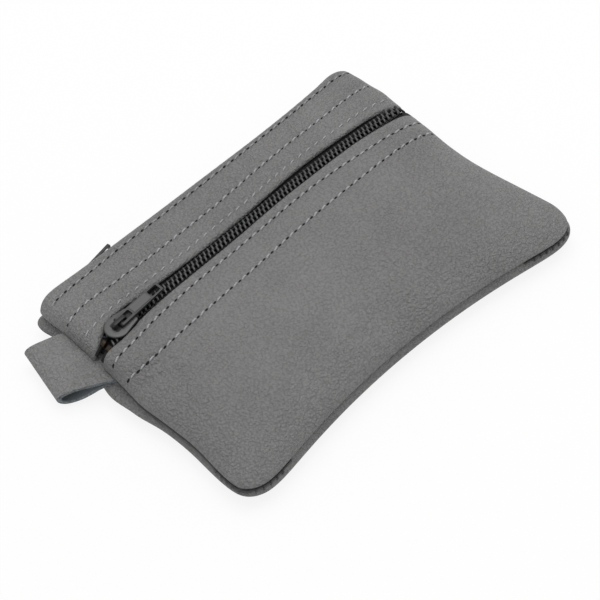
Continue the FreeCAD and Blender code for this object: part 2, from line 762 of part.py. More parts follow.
def main_tape(label, side):
    """Tape that stands across the mouth and bends in under the leather's folded edge."""
    body = new_body(label)
    sketch = new_sketch(body, "YZ_Plane", -tape_left)
    face = top_edge_level - hem - S.seat_gap - main_zip_level
    thick = S.tape_thickness
    bend = S.flange_bend
    outline(
        sketch,
        [
            (side * S.tape_inner, 0.0),
            (side * S.tape_inner, -thick),
            (side * (face - thick), -thick, bend - thick),
            (side * (face - thick), -thick - S.flange_reach),
            (side * face, -thick - S.flange_reach),
            (side * face, 0.0, bend),
        ],
    )
    pad(body, sketch, "Sizes.left_reach - Sizes.tape_recess + Sizes.right_reach - Sizes.main_tape_recess")
    far = face + S.overrun
    neck = face - bend
    for low, high in ((-tape_left - S.overrun, -(tape_left - S.left_neck)), (S.right_reach - S.right_neck, S.left_reach)):
        notch = new_sketch(body, "XY_Plane", S.overrun)
        corners = ((low, neck), (high, neck), (high, far), (low, far))
        outline(notch, [(x, side * y) for x, y in corners])
        pocket(body, notch, "2 * Sizes.flange_reach")
    body.Placement = MAIN
    keep(body, label)


def spread(x, slider_x):
    """How far a coil stands aside at x: apart left of the slider's wedge, together right of it."""
    wide, closed = slider_x - S.wedge_wide, slider_x + S.wedge_back + 2 * S.coil_pitch
    return S.coil_spread * (1 - ease((x - wide) / (closed - wide)))


def coil(label, side, slider_x, right_end, bent, placement):
    """Half of the chain: turns of wire whose backs are joined, which mesh with the other half's turns."""
    phase = 0.0 if side > 0 else S.coil_pitch / 2
    start = -coil_left + phase
    count = int((right_end - start) / S.coil_pitch)
    half = S.coil_turn / 2
    root = S.coil_heel - S.coil_spine
    front, back = [], []
    for i in range(count):
        x = start + i * S.coil_pitch
        aside = spread(x, slider_x)
        head = -S.coil_head + aside
        front += [(x - half, root + aside), (x - half, head), (x + half, head), (x + half, root + aside)]
        back.append((x, S.coil_heel + aside))
    back[0] = (front[0][0], back[0][1])
    back[-1] = (front[-1][0], back[-1][1])
    heel = [back[0]] + [b for a, b, c in zip(back, back[1:], back[2:]) if abs(a[1] - b[1]) + abs(b[1] - c[1]) > 0]
    heel.append(back[-1])
    points = [Vector(x, side * y, 0) for x, y in front + heel[::-1]]
    comb = Part.Face(Part.makePolygon(points + points[:1])).extrude(UP * S.coil_height)
    if bent:
        comb = comb.fuse(bent_turns(side, front[-1][0], phase)).removeSplitter()
    plain_feature(label, comb, placement)


def bent_turns(side, straight_end, phase):
    """The pocket zip's last turns, which follow the tape's bend down to the seam."""
    root = S.coil_heel - S.coil_spine
    radius = S.zip_bend_radius
    centre = Vector(zip_bend_start, 0, -radius)
    left, width = straight_end - S.coil_turn, S.coil_spine
    low = root if side > 0 else -S.coil_heel
    lead = Part.makeBox(zip_bend_start - left, width, S.coil_height, Vector(left, low, 0))
    across = Part.makePolygon(
        [
            Vector(zip_bend_start, low, 0),
            Vector(zip_bend_start, low + width, 0),
            Vector(zip_bend_start, low + width, S.coil_height),
            Vector(zip_bend_start, low, S.coil_height),
            Vector(zip_bend_start, low, 0),
        ]
    )
    spine = Part.Face(across).revolve(centre, Vector(0, 1, 0), BEND_DEG)
    pieces = [lead, spine]
    reach = S.coil_head + root
    low = -S.coil_head if side > 0 else -root
    middle_radius = radius + S.coil_height / 2
    step_deg = math.degrees(S.coil_pitch / middle_radius)
    first_deg = step_deg * (0.5 if side > 0 else 1.0)
    for i in range(int((BEND_DEG - first_deg) / step_deg)):
        box = Part.makeBox(S.coil_turn, reach, S.coil_height, Vector(zip_bend_start - S.coil_turn / 2, low, 0))
        box.rotate(centre, Vector(0, 1, 0), first_deg + i * step_deg)
        pieces.append(box)
    return pieces


def slider_body(label, placement, slider_x):
    """Two plates joined by the wedge, side walls that hold the coils together, and the puller's bridge."""
    body = new_body(label)
    length, nose, tail = S.slider_half_length, S.nose_half_width, S.tail_half_width
    wall = S.nose_half_width - S.coil_heel - S.coil_spread - S.coil_clearance

    def shield(sketch, inset=0.0):
        """Outline of a plate: a half-round nose that tapers straight to the tail."""
        front, back = length - inset, tail - inset
        radius = nose - inset
        start, tip, end = Vector(radius - front, radius, 0), Vector(-front, 0, 0), Vector(radius - front, -radius, 0)
        low, high = Vector(length, -back, 0), Vector(length, back, 0)
        sketch.addGeometry(Part.Arc(start, tip, end), False)
        for first, second in ((end, low), (low, high), (high, start)):
            sketch.addGeometry(Part.LineSegment(first, second), False)

    plate = new_sketch(body, "XY_Plane", wing_base)
    shield(plate)
    pad(body, plate, "Sizes.wing_thickness")
    walls = new_sketch(body, "XY_Plane", S.flange_clearance)
    shield(walls)
    pad(body, walls, "Sizes.coil_height + Sizes.coil_clearance - Sizes.flange_clearance")
    channel = new_sketch(body, "XY_Plane", wing_base)
    far = length + S.overrun
    throat = S.coil_heel + S.coil_clearance
    mouth = nose - wall
    wide = -S.wedge_wide
    corners = [(-far, nose + S.overrun), (wide - wall, nose + S.overrun), (wide, mouth), (length, throat), (far, throat)]
    outline(channel, corners + [(x, -y) for x, y in corners[::-1]])
    pocket(body, channel, "Sizes.coil_height")
    wedge = new_sketch(body, "XY_Plane", lower_wing_top)
    half = S.wedge_half_width
    outline(wedge, [(-S.wedge_front, 0.0), (wide, -half), (S.wedge_back, 0.0), (wide, half)])
    pad(body, wedge, "Sizes.coil_height + Sizes.coil_clearance + Sizes.tape_thickness + Sizes.tape_clearance")
    lower = new_sketch(body, "XY_Plane", lower_wing_top)
    shield(lower, S.lower_wing_inset)
    pad(body, lower, "Sizes.lower_wing_thickness", reverse=True)
    bridge = new_sketch(body, "XZ_Plane")
    out, inside = S.bridge_half_length, S.bridge_half_length - S.bridge_thickness
    sunk = wing_top - S.wing_thickness / 2
    under = bar_level + S.bar_radius + S.bar_clearance
    over = under + S.bridge_thickness
    corner = S.bridge_thickness
    outline(
        bridge,
        [
            (-out, sunk),
            (-out, over, corner),
            (out, over, corner),
            (out, sunk),
            (inside, sunk),
            (inside, under),
            (-inside, under),
            (-inside, sunk),
        ],
    )
    pad(body, bridge, "2 * Sizes.bridge_half_width", midplane=True)
    body.Placement = placement.multiply(FreeCAD.Placement(Vector(slider_x, 0, 0), FreeCAD.Rotation()))
    keep(body, label)


def puller(label, placement, slider_x, tilt_deg):
    """Flat tab on a round bar, with a window for the bridge, a raised panel and a square hole."""
    body = new_body(label)
    half = S.puller_half_width
    plate = new_sketch(body, "XY_Plane")
    corner = S.puller_corner
    outline(plate, [(0.0, -half), (S.puller_length, -half, corner), (S.puller_length, half, corner), (0.0, half)])
    pad(body, plate, "2 * Sizes.bar_radius", midplane=True)
    bar = new_sketch(body, "XZ_Plane")
    bar.addGeometry(Part.Circle(Vector(), UP, S.bar_radius), False)
    pad(body, bar, "2 * Sizes.puller_half_width", midplane=True)
    holes = (
        ("Sizes.bar_radius", "Sizes.window_end", "Sizes.window_half_width"),
        ("Sizes.eye_start", "Sizes.eye_end", "Sizes.eye_half_width"),
    )
    for start, end, width in holes:
        hole = new_sketch(body, "XY_Plane")
        rectangle(hole, start, end, "-" + width, width)
        pocket(body, hole, "4 * Sizes.bar_radius", midplane=True)
    panel = new_sketch(body, "XY_Plane")
    rectangle(panel, "Sizes.panel_start", "Sizes.panel_end", "-Sizes.panel_half_width", "Sizes.panel_half_width")
    pad(body, panel, "Sizes.bar_radius + Sizes.panel_rise")
    turn = FreeCAD.Rotation(Vector(0, -1, 0), tilt_deg)
    local = FreeCAD.Placement(Vector(slider_x, 0, bar_level), turn)
    body.Placement = placement.multiply(local)
    keep(body, label)


def top_stops(label, placement):
    """Two clamped stops on the tapes' inner edges, left of the coils."""
    halves = []
    for side in (1, -1):
        low = S.tape_inner - S.stop_wall
        wide = S.stop_wall + S.stop_reach
        start = Vector(-tape_left + S.stop_wall / 2, low, -S.tape_thickness - S.stop_wall)
        block = Part.makeBox(S.stop_length, wide, S.tape_thickness + 2 * S.stop_wall, start)
        slot = Part.makeBox(tape_left, wide, S.tape_thickness, Vector(-tape_left, S.tape_inner, -S.tape_thickness))
        clamp = block.cut(slot)
        if side < 0:
            clamp = clamp.mirror(Vector(), Vector(0, 1, 0))
        halves.append(clamp)
    plain_feature(label, Part.makeCompound(halves), placement)


def zip_pieces():
    places = (
        ("pocket", POCKET, S.pocket_slider_recess - S.left_reach, zip_bend_start, True, 0.0),
        ("main", MAIN, S.main_slider_recess - S.left_reach, main_tape_right, False, S.main_puller_tilt_deg),
    )
    for name, placement, slider_x, right_end, bent, tilt_deg in places:
        sides = (("upper", 1), ("lower", -1)) if name == "pocket" else (("back", 1), ("front", -1))
        for side_name, side in sides:
            tape = pocket_tape if name == "pocket" else main_tape
            tape("%s_zip_tape_%s" % (name, side_name), side)
            coil("%s_zip_coil_%s" % (name, side_name), side, slider_x, right_end, bent, placement)
        slider_body("%s_zip_slider" % name, placement, slider_x)
        puller("%s_zip_puller" % name, placement, slider_x, tilt_deg)
        top_stops("%s_zip_top_stops" % name, placement)


front_lower_panel()
front_upper_panel()
back_panel()
linings()
side_loop()
key_strap()
key_ring()
zip_pieces()
doc.recompute()

# Checks and export

for thing in doc.Objects:
    if "Invalid" in thing.State or "Error" in thing.State:
        raise RuntimeError("%s did not build" % thing.Label)
os.makedirs("parts", exist_ok=True)
for piece in parts:
    shape = piece.Shape
    if shape.isNull() or not shape.isValid():
        raise RuntimeError("%s has no valid shape" % piece.Label)
    shape.exportStep("parts/%s.step" % piece.Label)
    box = shape.BoundBox
    print(
        "%-24s solids %d  volume %8.1f  x %.2f..%.2f  y %.2f..%.2f  z %.2f..%.2f"
        % (piece.Label, len(shape.Solids), shape.Volume, box.XMin, box.XMax, box.YMin, box.YMax, box.ZMin, box.ZMax)
    )
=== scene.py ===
"""Finishes a soft leather key case: grained leather, threads, woven zips, sliders, loop, strap and ring."""

import math

import bmesh
import bpy
import numpy as np
from bpy.props import FloatProperty, FloatVectorProperty, IntProperty, PointerProperty
from mathutils import Matrix, Vector


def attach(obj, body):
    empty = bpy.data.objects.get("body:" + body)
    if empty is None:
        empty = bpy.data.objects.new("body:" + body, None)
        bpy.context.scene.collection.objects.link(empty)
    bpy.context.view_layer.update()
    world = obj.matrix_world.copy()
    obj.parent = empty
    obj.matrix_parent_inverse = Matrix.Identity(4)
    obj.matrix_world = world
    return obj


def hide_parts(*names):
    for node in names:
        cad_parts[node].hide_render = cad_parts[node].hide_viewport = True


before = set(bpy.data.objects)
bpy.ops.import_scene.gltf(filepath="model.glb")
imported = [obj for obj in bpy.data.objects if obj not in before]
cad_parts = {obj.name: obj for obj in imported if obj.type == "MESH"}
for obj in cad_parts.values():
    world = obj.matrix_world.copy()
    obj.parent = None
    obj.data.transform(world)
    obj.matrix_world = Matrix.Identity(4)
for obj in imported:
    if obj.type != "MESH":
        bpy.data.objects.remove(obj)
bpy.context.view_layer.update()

bl_info = {
    "name": "Leather key case",
    "version": (1, 0, 0),
    "blender": (4, 5, 0),
    "location": "3D View > Sidebar > Key case",
    "description": "Builds the visible pieces of a zipped leather key case around its solid model",
    "category": "Add Mesh",
}

# Sizes in millimetres that follow the solid model

MM = 0.001
LEFT_REACH, LEFT_DRAW = 60.4, 0.3
RIGHT_REACH, RIGHT_DRAW, RIGHT_FLARE = 60.4, 2.4, 4.6
BOTTOM_REACH, BOTTOM_DRAW, BOTTOM_SKEW = 48.2, 8.0, 1.15
TOP_REACH, TOP_DRAW = 40.0, 1.4
CORNER_LIFT, CORNER_INSET, TOP_CORNER_INSET = 6.5, 3.5, 0.8
SEAM_Z = 6.2
CROWN_RISE, CROWN_Y, LOWER_DROP = 9.3, -6.0, 1.2
LIP_RISE, TOP_RISE = 7.0, 6.1
LEATHER, HEM, FOLD_WIDTH = 1.2, 1.9, 7.5
LINING, STRIP_LEATHER = 0.4, 1.05
ZIP_Y, TAPE_Z = 18.0, 11.2
MAIN_Y, MAIN_Z = 38.05, 6.15
POCKET_SLIDER_X, MAIN_SLIDER_X = -49.8, -47.4

# Sizes of the softer and finer forms of this script, also in millimetres

LIP_Y, BAND_Y, FIRM_Y = 13.05, 30.45, -1.5
TOP_RIGHT_CUT, LOW_RIGHT_CUT, RIGHT_WAIST, TOP_HUMP = 1.9, 1.3, 0.7, 0.6
COIL_PITCH, COIL_LEFT, COIL_SPREAD = 1.48, -54.9, 1.2
COIL_WIRE, COIL_MIDDLE, COIL_REACH, COIL_LEVEL, COIL_LIFT = 0.29, 0.67, 0.82, 0.80, 0.60
BEND_START, BEND_LENGTH, BEND_DROP, LEFT_BEND_START, LEFT_BEND_RADIUS = 51.0, 7.6, 4.9, -57.2, 2.6
SLIDER_YAW_DEG, SLIDER_YAW_ARM = 4.5, 14.0
HOLE_LONG, HOLE_SHORT = (0.80, 0.46), (0.58, 0.34)

# Powers, directions and other values without a length

LEFT_STIFF, RIGHT_STIFF, RIGHT_TOP_STIFF, RIM_POWER = 36.0, 12.0, 18.0, 14
WHITE = (1.0, 1.0, 1.0, 1.0)
ALONG, ACROSS, UP = (1.0, 0.0, 0.0), (0.0, 1.0, 0.0), (0.0, 0.0, 1.0)
QUARTER = np.linspace(0, math.pi / 2, 6)
FLOOR_CORNERS = ((-1, -1), (1, -1), (1, 1), (-1, 1))

# Lines drawn over the front, each by a few x and y that a curve runs through

KNOTS = {
    "lower_lip": (
        (-62, 12.6), (-57, 12.1), (-53, 12.0), (-49, 12.7), (-45, 13.5), (-40, 14.1), (-34, 14.5), (-26, 14.7),
        (-16, 14.85), (-8, 15.1), (0, 15.5), (10, 15.8), (20, 15.8), (30, 15.7), (40, 15.3), (50, 14.2), (62, 13.4),
    ),
    "upper_lip": (
        (-62, 16.8), (-59, 17.4), (-56, 19.2), (-53, 20.8), (-50, 21.8), (-46, 22.0), (-41, 21.65), (-34, 21.3),
        (-20, 20.9), (-10, 21.0), (0, 21.3), (10, 22.0), (20, 22.5), (30, 22.4), (40, 21.9), (50, 21.1), (62, 18.8),
    ),
    "lip_upper": (
        (-62, 21.4), (-55, 21.9), (-50, 22.7), (-44, 22.9), (-34, 22.7), (-20, 22.7), (-10, 23.0), (0, 23.2),
        (5, 23.4), (10, 23.8), (20, 24.2), (30, 24.1), (40, 23.7), (47, 23.3), (52, 22.7), (62, 21.8),
    ),
    "band": (
        (-62, 27.9), (-57, 28.5), (-52, 29.2), (-47, 29.1), (-41, 28.8), (-35, 28.6), (-30, 28.3), (-20, 28.3),
        (-10, 28.4), (-3, 28.6), (4, 29.0), (10, 29.5), (15, 29.7), (20, 30.0), (27, 30.1), (35, 30.0), (62, 30.2),
    ),
    "top": (
        (-62, 36.0), (-55, 36.5), (-50, 37.0), (-42, 37.2), (-33, 37.3), (-15, 37.3), (-5, 37.3), (5, 37.5),
        (12, 37.7), (20, 38.0), (30, 38.2), (40, 38.4), (50, 38.6), (62, 38.8),
    ),
    "lip_lower": (
        (-62, 9.0), (-58, 9.0), (-55, 9.1), (-52, 9.3), (-49, 9.8), (-46, 10.4), (-43, 11.0), (-39, 11.5),
        (-34, 12.0), (-28, 12.5), (-20, 12.7), (-10, 12.8), (0, 13.2), (8, 13.4), (18, 13.4), (24, 13.0),
        (30, 12.5), (36, 11.8), (42, 11.1), (48, 10.2), (53, 9.6), (62, 9.3),
    ),
    "body": (
        (-62, 4.6), (-60, 3.6), (-57, 2.5), (-53, 1.9), (-48, 1.8), (-43, 2.0), (-36, 2.4), (-30, 2.8), (-22, 3.1),
        (-15, 3.3), (-8, 3.7), (0, 4.2), (8, 4.5), (18, 4.6), (27, 4.8), (36, 4.9), (44, 4.8), (50, 4.5), (62, 3.8),
    ),
    "zip": (
        (-64, 14.5), (-58, 15.1), (-54, 16.2), (-50, 17.0), (-45, 17.35), (-38, 17.5), (-28, 17.65), (-18, 17.85),
        (-8, 18.05), (0, 18.2), (10, 18.5), (20, 18.6), (30, 18.45), (38, 18.1), (44, 17.75), (50, 17.3), (64, 16.6),
    ),
}

# Depth of the groove that each stitch line presses into the front

GROOVES = {"body": 0.20, "lip_lower": 0.20, "band": 0.15, "lip_upper": 0.10, "top": 0.17}

# Bells along the left rim, each its y, width and size: of the seam itself, and of the roll beside it

LEFT_SWELLS = ((-3.0, 6.5, 0.8), (-23.0, 8.5, -0.8))
EARS = ((38.6, 6.0, 1.0), (7.5, 7.0, 1.0), (-0.5, 9.0, 0.7), (-24.0, 9.0, 0.25))

# Slack of the soft leather: waves (per x, per y, phase, size) and creases (x, y, length, width, turn, wave, size)

WAVES = (
        (0.10, 0.047, 0.4, 0.16),
        (-0.07, 0.11, 2.1, 0.12),
        (0.16, 0.05, 4.0, 0.07),
        (0.05, -0.17, 1.2, 0.08),
        (0.21, 0.13, 3.3, 0.035),
)
CREASES = (
        (-52.0, -3.0, 7.0, 3.4, -0.45, 3.6, 0.42),
        (-44.0, -5.0, 9.0, 3.6, 0.30, 4.1, 0.30),
        (-53.0, -12.0, 6.0, 6.0, 1.2, 4.6, 0.22),
        (-40.0, -21.0, 12.0, 6.0, 0.8, 5.3, 0.13),
        (-10.0, -31.0, 15.0, 6.0, 0.2, 5.6, 0.09),
        (28.0, -33.0, 16.0, 6.0, -0.2, 4.9, 0.10),
        (48.0, 3.0, 9.0, 5.0, 1.9, 5.0, 0.14),
        (49.0, -9.0, 8.0, 6.0, 1.1, 5.5, 0.12),
        (53.0, -20.0, 5.0, 9.0, 1.7, 4.4, 0.10),
)


def settings_of(group):
    """The add-on's settings of one group."""
    return getattr(bpy.context.scene, "key_case_" + group)


# Helpers for points. p runs from -1 at the left seam to 1 at the right one.


def xyz(x, y, z):
    """Points from three coordinates, each an array or a number."""
    return np.stack(np.broadcast_arrays(x, y, z), -1)


def unit(vectors):
    """The same directions at length one."""
    return vectors / np.linalg.norm(vectors, axis=-1, keepdims=True)


def powered(values, power):
    """A power of the size, with the sign kept."""
    return np.sign(values) * np.abs(values) ** power


def ease(share):
    """Smooth step: 3t^2 - 2t^3 of the share, kept between 0 and 1."""
    share = np.clip(share, 0.0, 1.0)
    return share * share * (3 - 2 * share)


def bump_at(distance, width):
    """Bell curve: e to the power of minus the squared distance over the squared width."""
    return np.exp(-((distance / width) ** 2))


def bells(y, table):
    """Sum of bell curves, each at its own y."""
    return sum(size * bump_at(y - at, width) for at, width, size in table)


def smooth_path(points, count):
    """Curve through points: Catmull-Rom pieces, resampled to even steps."""
    points = np.asarray(points, float)
    padded = np.concatenate([2 * points[:1] - points[1:2], points, 2 * points[-1:] - points[-2:-1]])
    t = np.linspace(0, 1, 24, endpoint=False)[:, None]
    pieces = []
    for a, b, c, d in zip(padded, padded[1:], padded[2:], padded[3:]):
        pieces.append(0.5 * (2 * b + (c - a) * t + (2 * a - 5 * b + 4 * c - d) * t**2 + (3 * b - a - 3 * c + d) * t**3))
    curve = np.concatenate(pieces + [points[-1:]])
    length = np.concatenate([[0], np.cumsum(np.linalg.norm(np.diff(curve, axis=0), axis=1))])
    at = np.linspace(0, length[-1], count)
    return np.stack([np.interp(at, length, curve[:, k]) for k in range(2)], 1)


DRAWN = {name: smooth_path(knots, 240) for name, knots in KNOTS.items()}


def line_y(name, x):
    """y of a drawn line at x, read between the points of its curve."""
    return np.interp(x, DRAWN[name][:, 0], DRAWN[name][:, 1])


# Form of the case


def bottom_edge(p):
    """y of the bottom seam: the skewed reach, less a parabola of the draw and a steep lift at the corners."""
    drawn = BOTTOM_DRAW * (1 - p * p) + CORNER_LIFT * np.abs(p) ** 16
    return -(BOTTOM_REACH + BOTTOM_SKEW * p - drawn)


def top_edge(p):
    """y of the top seam: the reach, less the draw and a steep corner inset, with a low bell near the right."""
    return TOP_REACH - TOP_DRAW * (1 - p * p) - TOP_CORNER_INSET * np.abs(p) ** 24 + TOP_HUMP * bump_at(p - 0.9, 0.08)


def half_length(p, y):
    """Middle to the side seam at y: the reach, less a parabola of the draw, less a steep corner inset.

    Below the middle the right seam flares, which adds to its reach and to its draw alike. At the right the
    corners are cut off a little more, and the seam is drawn in by a bell of y beside the crown. The left
    seam swells below the loop and is drawn in above the corner, by two bells."""
    share = np.where(y < 0, y / BOTTOM_REACH, y / TOP_REACH)
    inset = np.where(y < 0, CORNER_INSET, TOP_CORNER_INSET)
    flare = np.where((p > 0) & (y < 0), RIGHT_FLARE, 0.0)
    reach = np.where(p < 0, LEFT_REACH, RIGHT_REACH) + flare
    draw = np.where(p < 0, LEFT_DRAW, RIGHT_DRAW) + flare
    corners = TOP_RIGHT_CUT * ease((y - 25) / 13) + LOW_RIGHT_CUT * ease((-36 - y) / 9)
    cut = corners + RIGHT_WAIST * bump_at(y + 9, 13)
    change = np.where(p < 0, bells(y, LEFT_SWELLS), -cut) * (p != 0)
    return reach - draw * (1 - share**2) - inset * np.abs(share) ** 16 + change


def share_at(x, y):
    """p of the point x, y."""
    return x / half_length(np.sign(x), y)


def pillow(p, y, end_power=6.0, roll_power=11.0):
    """0 at the seams and 1 over the middle: the root of 1 - |p|^n times the root of 1 - t^m."""
    right = RIGHT_STIFF + (RIGHT_TOP_STIFF - RIGHT_STIFF) * ease((y - 31) / 5)
    stiff = np.where(p < 0, LEFT_STIFF, right)
    power = end_power + (stiff - end_power) * ease((y - FIRM_Y) / (LIP_Y - FIRM_Y))
    across = np.sqrt(np.maximum(0.0, 1 - np.abs(p) ** power))
    left = np.clip((top_edge(p) - y) / (top_edge(p) - bottom_edge(p)), 0.0, 1.0)
    return across * np.sqrt(np.maximum(0.0, 1 - left**roll_power))


def front_rise(y):
    """Rise over the seam: a parabola each side of the crown, then an eased fall to the top edge."""
    low = CROWN_RISE - LOWER_DROP * (np.maximum(CROWN_Y - y, 0.0) / (BOTTOM_REACH + CROWN_Y)) ** 2
    up = CROWN_RISE - (CROWN_RISE - LIP_RISE) * (np.clip((y - CROWN_Y) / (LIP_Y - CROWN_Y), 0, 1)) ** 2
    top = LIP_RISE - (LIP_RISE - TOP_RISE) * ease((y - BAND_Y) / (TOP_REACH - BAND_Y))
    return np.where(y < CROWN_Y, low, np.where(y < LIP_Y, up, top))


def ripples(x, y):
    """Slack of soft leather: long crossed sine waves, and short creases, each a sine in a bell-shaped window."""
    height = sum(size * np.sin(a * x + b * y + phase) for a, b, phase, size in WAVES)
    for cx, cy, length, width, turn, wave, size in CREASES:
        along = (x - cx) * math.cos(turn) + (y - cy) * math.sin(turn)
        across = (y - cy) * math.cos(turn) - (x - cx) * math.sin(turn)
        window = bump_at(along, length) * bump_at(across, width)
        height = height + size * window * np.sin(2 * math.pi * across / wave + 0.12 * along)
    return height


def groove(y, line, x):
    """A seam's groove: a narrow bell across the line, deeper at each needle hole, and a wide shallow one."""
    wave = 0.7 + 0.3 * np.cos(2 * math.pi * x / settings_of("thread").pitch)
    return bump_at(y - line, 0.75) * wave + 0.35 * bump_at(y - line, 2.0)


def front_z(p, y):
    """Height of the front: the pillow, with the slack added and the stitch lines pressed in."""
    x = p * half_length(p, y)
    full = pillow(p, y)
    slack = ripples(x, y) * (1 - 0.75 * bump_at(y - 21.0, 9.0))
    at = {name: line_y(name, x) for name in GROOVES}
    pressed = sum(depth * groove(y, at[name], x) for name, depth in GROOVES.items())
    between = (("lip_upper", "band", 0.22, 1.9), ("band", "top", 0.18, 2.6), ("body", "lip_lower", 0.20, 2.6))
    swell = sum(size * bump_at(y - (at[a] + at[b]) / 2, width) for a, b, size, width in between)
    return SEAM_Z + (front_rise(y) + slack + swell - pressed) * full


def tuck(points, height, depth, bulge, beyond, ear, p, left):
    """Pulls a panel's rim in at the seam and lets it swell beside it.

    The plan shift is a bell of the height over the seam, outwards by beyond at the height bulge, weighted
    by steep powers of the shares that lead to the side seams and to the bottom seam. The ear is a further
    swelling of the roll at the top left corner and below the loop, which leaves the seam where it is."""
    y = points[..., 1]
    corner = 0.75 * bump_at(y - 38.0, 6.5) * (p < 0)
    inwards = depth * (1 - corner) * bump_at(height, 0.95) - beyond * bump_at(height - bulge, 1.5)
    pulled = ear * bells(y, EARS) * (p < 0) * (1 - bump_at(height, 1.1))
    points[..., 0] -= powered(p, RIM_POWER) * (inwards - pulled)
    points[..., 1] += np.clip(left, 0, 1) ** RIM_POWER * inwards
    return points


# Meshes from arrays


def grid_faces(rows, columns, wrap_rows=False, wrap_columns=False):
    """Quads of a grid of points, row by row."""
    i = np.arange(rows if wrap_rows else rows - 1)
    j = np.arange(columns if wrap_columns else columns - 1)
    i, j = (a.ravel() for a in np.meshgrid(i, j, indexing="ij"))
    after_i, after_j = (i + 1) % rows, (j + 1) % columns
    return np.stack([i * columns + j, i * columns + after_j, after_i * columns + after_j, after_i * columns + j], 1)


def new_piece(name, body, slot, finish, points, faces, nodes=(), sharp_deg=40.0):
    """Piece from points in millimetres and lists of face arrays, riding on a body, its faces turned outwards."""
    mesh = bpy.data.meshes.new(name)
    points = np.reshape(points, (-1, 3)) * MM
    mesh.from_pydata(points.tolist(), [], [face for group in faces for face in group.tolist()])
    mesh.validate()
    shape = bmesh.new()
    shape.from_mesh(mesh)
    bmesh.ops.remove_doubles(shape, verts=shape.verts, dist=1e-7)
    bmesh.ops.recalc_face_normals(shape, faces=shape.faces)
    shape.to_mesh(mesh)
    shape.free()
    mesh.polygons.foreach_set("use_smooth", np.ones(len(mesh.polygons), dtype=bool))
    mesh.set_sharp_from_angle(angle=math.radians(sharp_deg))
    return place(mesh, body, finish, nodes)


def place(mesh, body, finish, nodes=()):
    """Makes a piece of a mesh, gives it its finish and its body, and hides the solids that it stands for."""
    piece = bpy.data.objects.new(mesh.name, mesh)
    bpy.context.scene.collection.objects.link(piece)
    mesh.materials.append(finish_of(finish))
    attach(piece, body)
    if nodes:
        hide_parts(*nodes)
    return piece


def closed_band(rings):
    """Faces of a band whose rows close into a ring, with both ends capped by linking row i to row -1-i."""
    rows, columns = rings.shape[:2]
    around = grid_faces(rows, columns, wrap_rows=True)
    i = np.arange(rows // 2 - 1)
    cap = np.stack([i, i + 1, rows - 2 - i, rows - 1 - i], 1) * columns
    return [around, cap, cap + columns - 1]


def fanned(rows):
    """Triangles from a row of points to its first one."""
    return np.stack([np.full(len(rows) - 2, rows[0]), rows[1:-1], rows[2:]], 1)


def laced(first, second):
    """Triangles between two rows of points, each of the longer row joined to its nearest in the shorter."""
    middle = (np.arange(len(first) - 1) + 0.5) / (len(first) - 1)
    nearest = np.round(middle * (len(second) - 1)).astype(int)
    turn = np.searchsorted(nearest, np.arange(len(second) - 1) + 1)
    ahead = np.stack([first[:-1], first[1:], second[nearest]], 1)
    return np.concatenate([ahead, np.stack([second[1:], second[:-1], first[turn]], 1)])


def round_edge(outer, inner, before, count):
    """Rows of a half circle from outer round to inner, bulging away from the row before."""
    turn = np.linspace(0, math.pi, count + 2)[1:-1, None, None]
    half = (outer - inner) / 2
    size = np.linalg.norm(half, axis=-1, keepdims=True)
    return outer - half + half * np.cos(turn) + unit(outer - before) * size * np.sin(turn)


def capped(rings, first, last):
    """Points and faces of a row of closed rings, with a fan at each end to a point of its own."""
    rows, count = rings.shape[:2]
    j = np.arange(count)
    after, end = (j + 1) % count, (rows - 1) * count
    low = np.stack([j, after, np.full(count, rows * count)], 1)
    top = np.stack([end + after, end + j, np.full(count, rows * count + 1)], 1)
    points = np.concatenate([rings.reshape(-1, 3), [first, last]])
    return points, [grid_faces(rows, count, wrap_columns=True), low, top]


def tube(path, radius, sides, reference):
    """Tube along a path: at each point a circle, square to the path.

    Its first axis is the path's direction crossed with the reference, the second is square to both."""
    direction = unit(np.gradient(path, axis=0))
    first = unit(np.cross(direction, reference))
    second = np.cross(direction, first)
    turn = (np.arange(sides) * 2 * math.pi / sides)[:, None]
    radius = np.broadcast_to(radius, (len(path),))[:, None, None]
    rings = path[:, None] + radius * (first[:, None] * np.cos(turn) + second[:, None] * np.sin(turn))
    return capped(rings, path[0], path[-1])


def bar(path, axis, other, wide, tall, power):
    """Bar along a path, with a rounded rectangle as section: sines raised to a power along two axes."""
    turn = (np.arange(12) * math.pi / 6)[:, None]
    axis, other = (np.broadcast_to(way, path.shape)[:, None] for way in (axis, other))
    section = axis * wide * powered(np.cos(turn), power) + other * tall * powered(np.sin(turn), power)
    return capped(path[:, None] + section, path[0], path[-1])


def laid(shape, middle, along, normals):
    """Copies of a shape made along x, each turned so that it lies along its own direction at its own middle."""
    points, faces = shape
    along = unit(along)
    side = unit(np.cross(np.broadcast_to(normals, along.shape), along))
    turned = points @ np.stack([along, side, np.cross(along, side)], 1) + middle[:, None]
    offsets = np.arange(len(turned))[:, None, None] * len(points)
    return turned.reshape(-1, 3), [(group + offsets).reshape(-1, group.shape[1]) for group in faces]


def rounded(points, radii, steps=4):
    """Outline with its corners turned into arcs of the given radii, as an array."""
    points = np.asarray(points, float)
    result = []
    for i, radius in enumerate(radii):
        here = points[i]
        if radius == 0:
            result.append(here[None])
            continue
        back, on = unit(points[i - 1] - here), unit(points[(i + 1) % len(points)] - here)
        half = math.acos(float(np.clip(back @ on, -1, 1))) / 2
        centre = here + unit(back + on) * radius / math.sin(half)
        a, b = (here + way * radius / math.tan(half) - centre for way in (back, on))
        sweep = math.acos(float(np.clip(a @ b / radius**2, -1, 1)))
        t = np.linspace(0, 1, steps)[:, None]
        result.append(centre + (np.sin((1 - t) * sweep) * a + np.sin(t * sweep) * b) / math.sin(sweep))
    return np.concatenate(result)


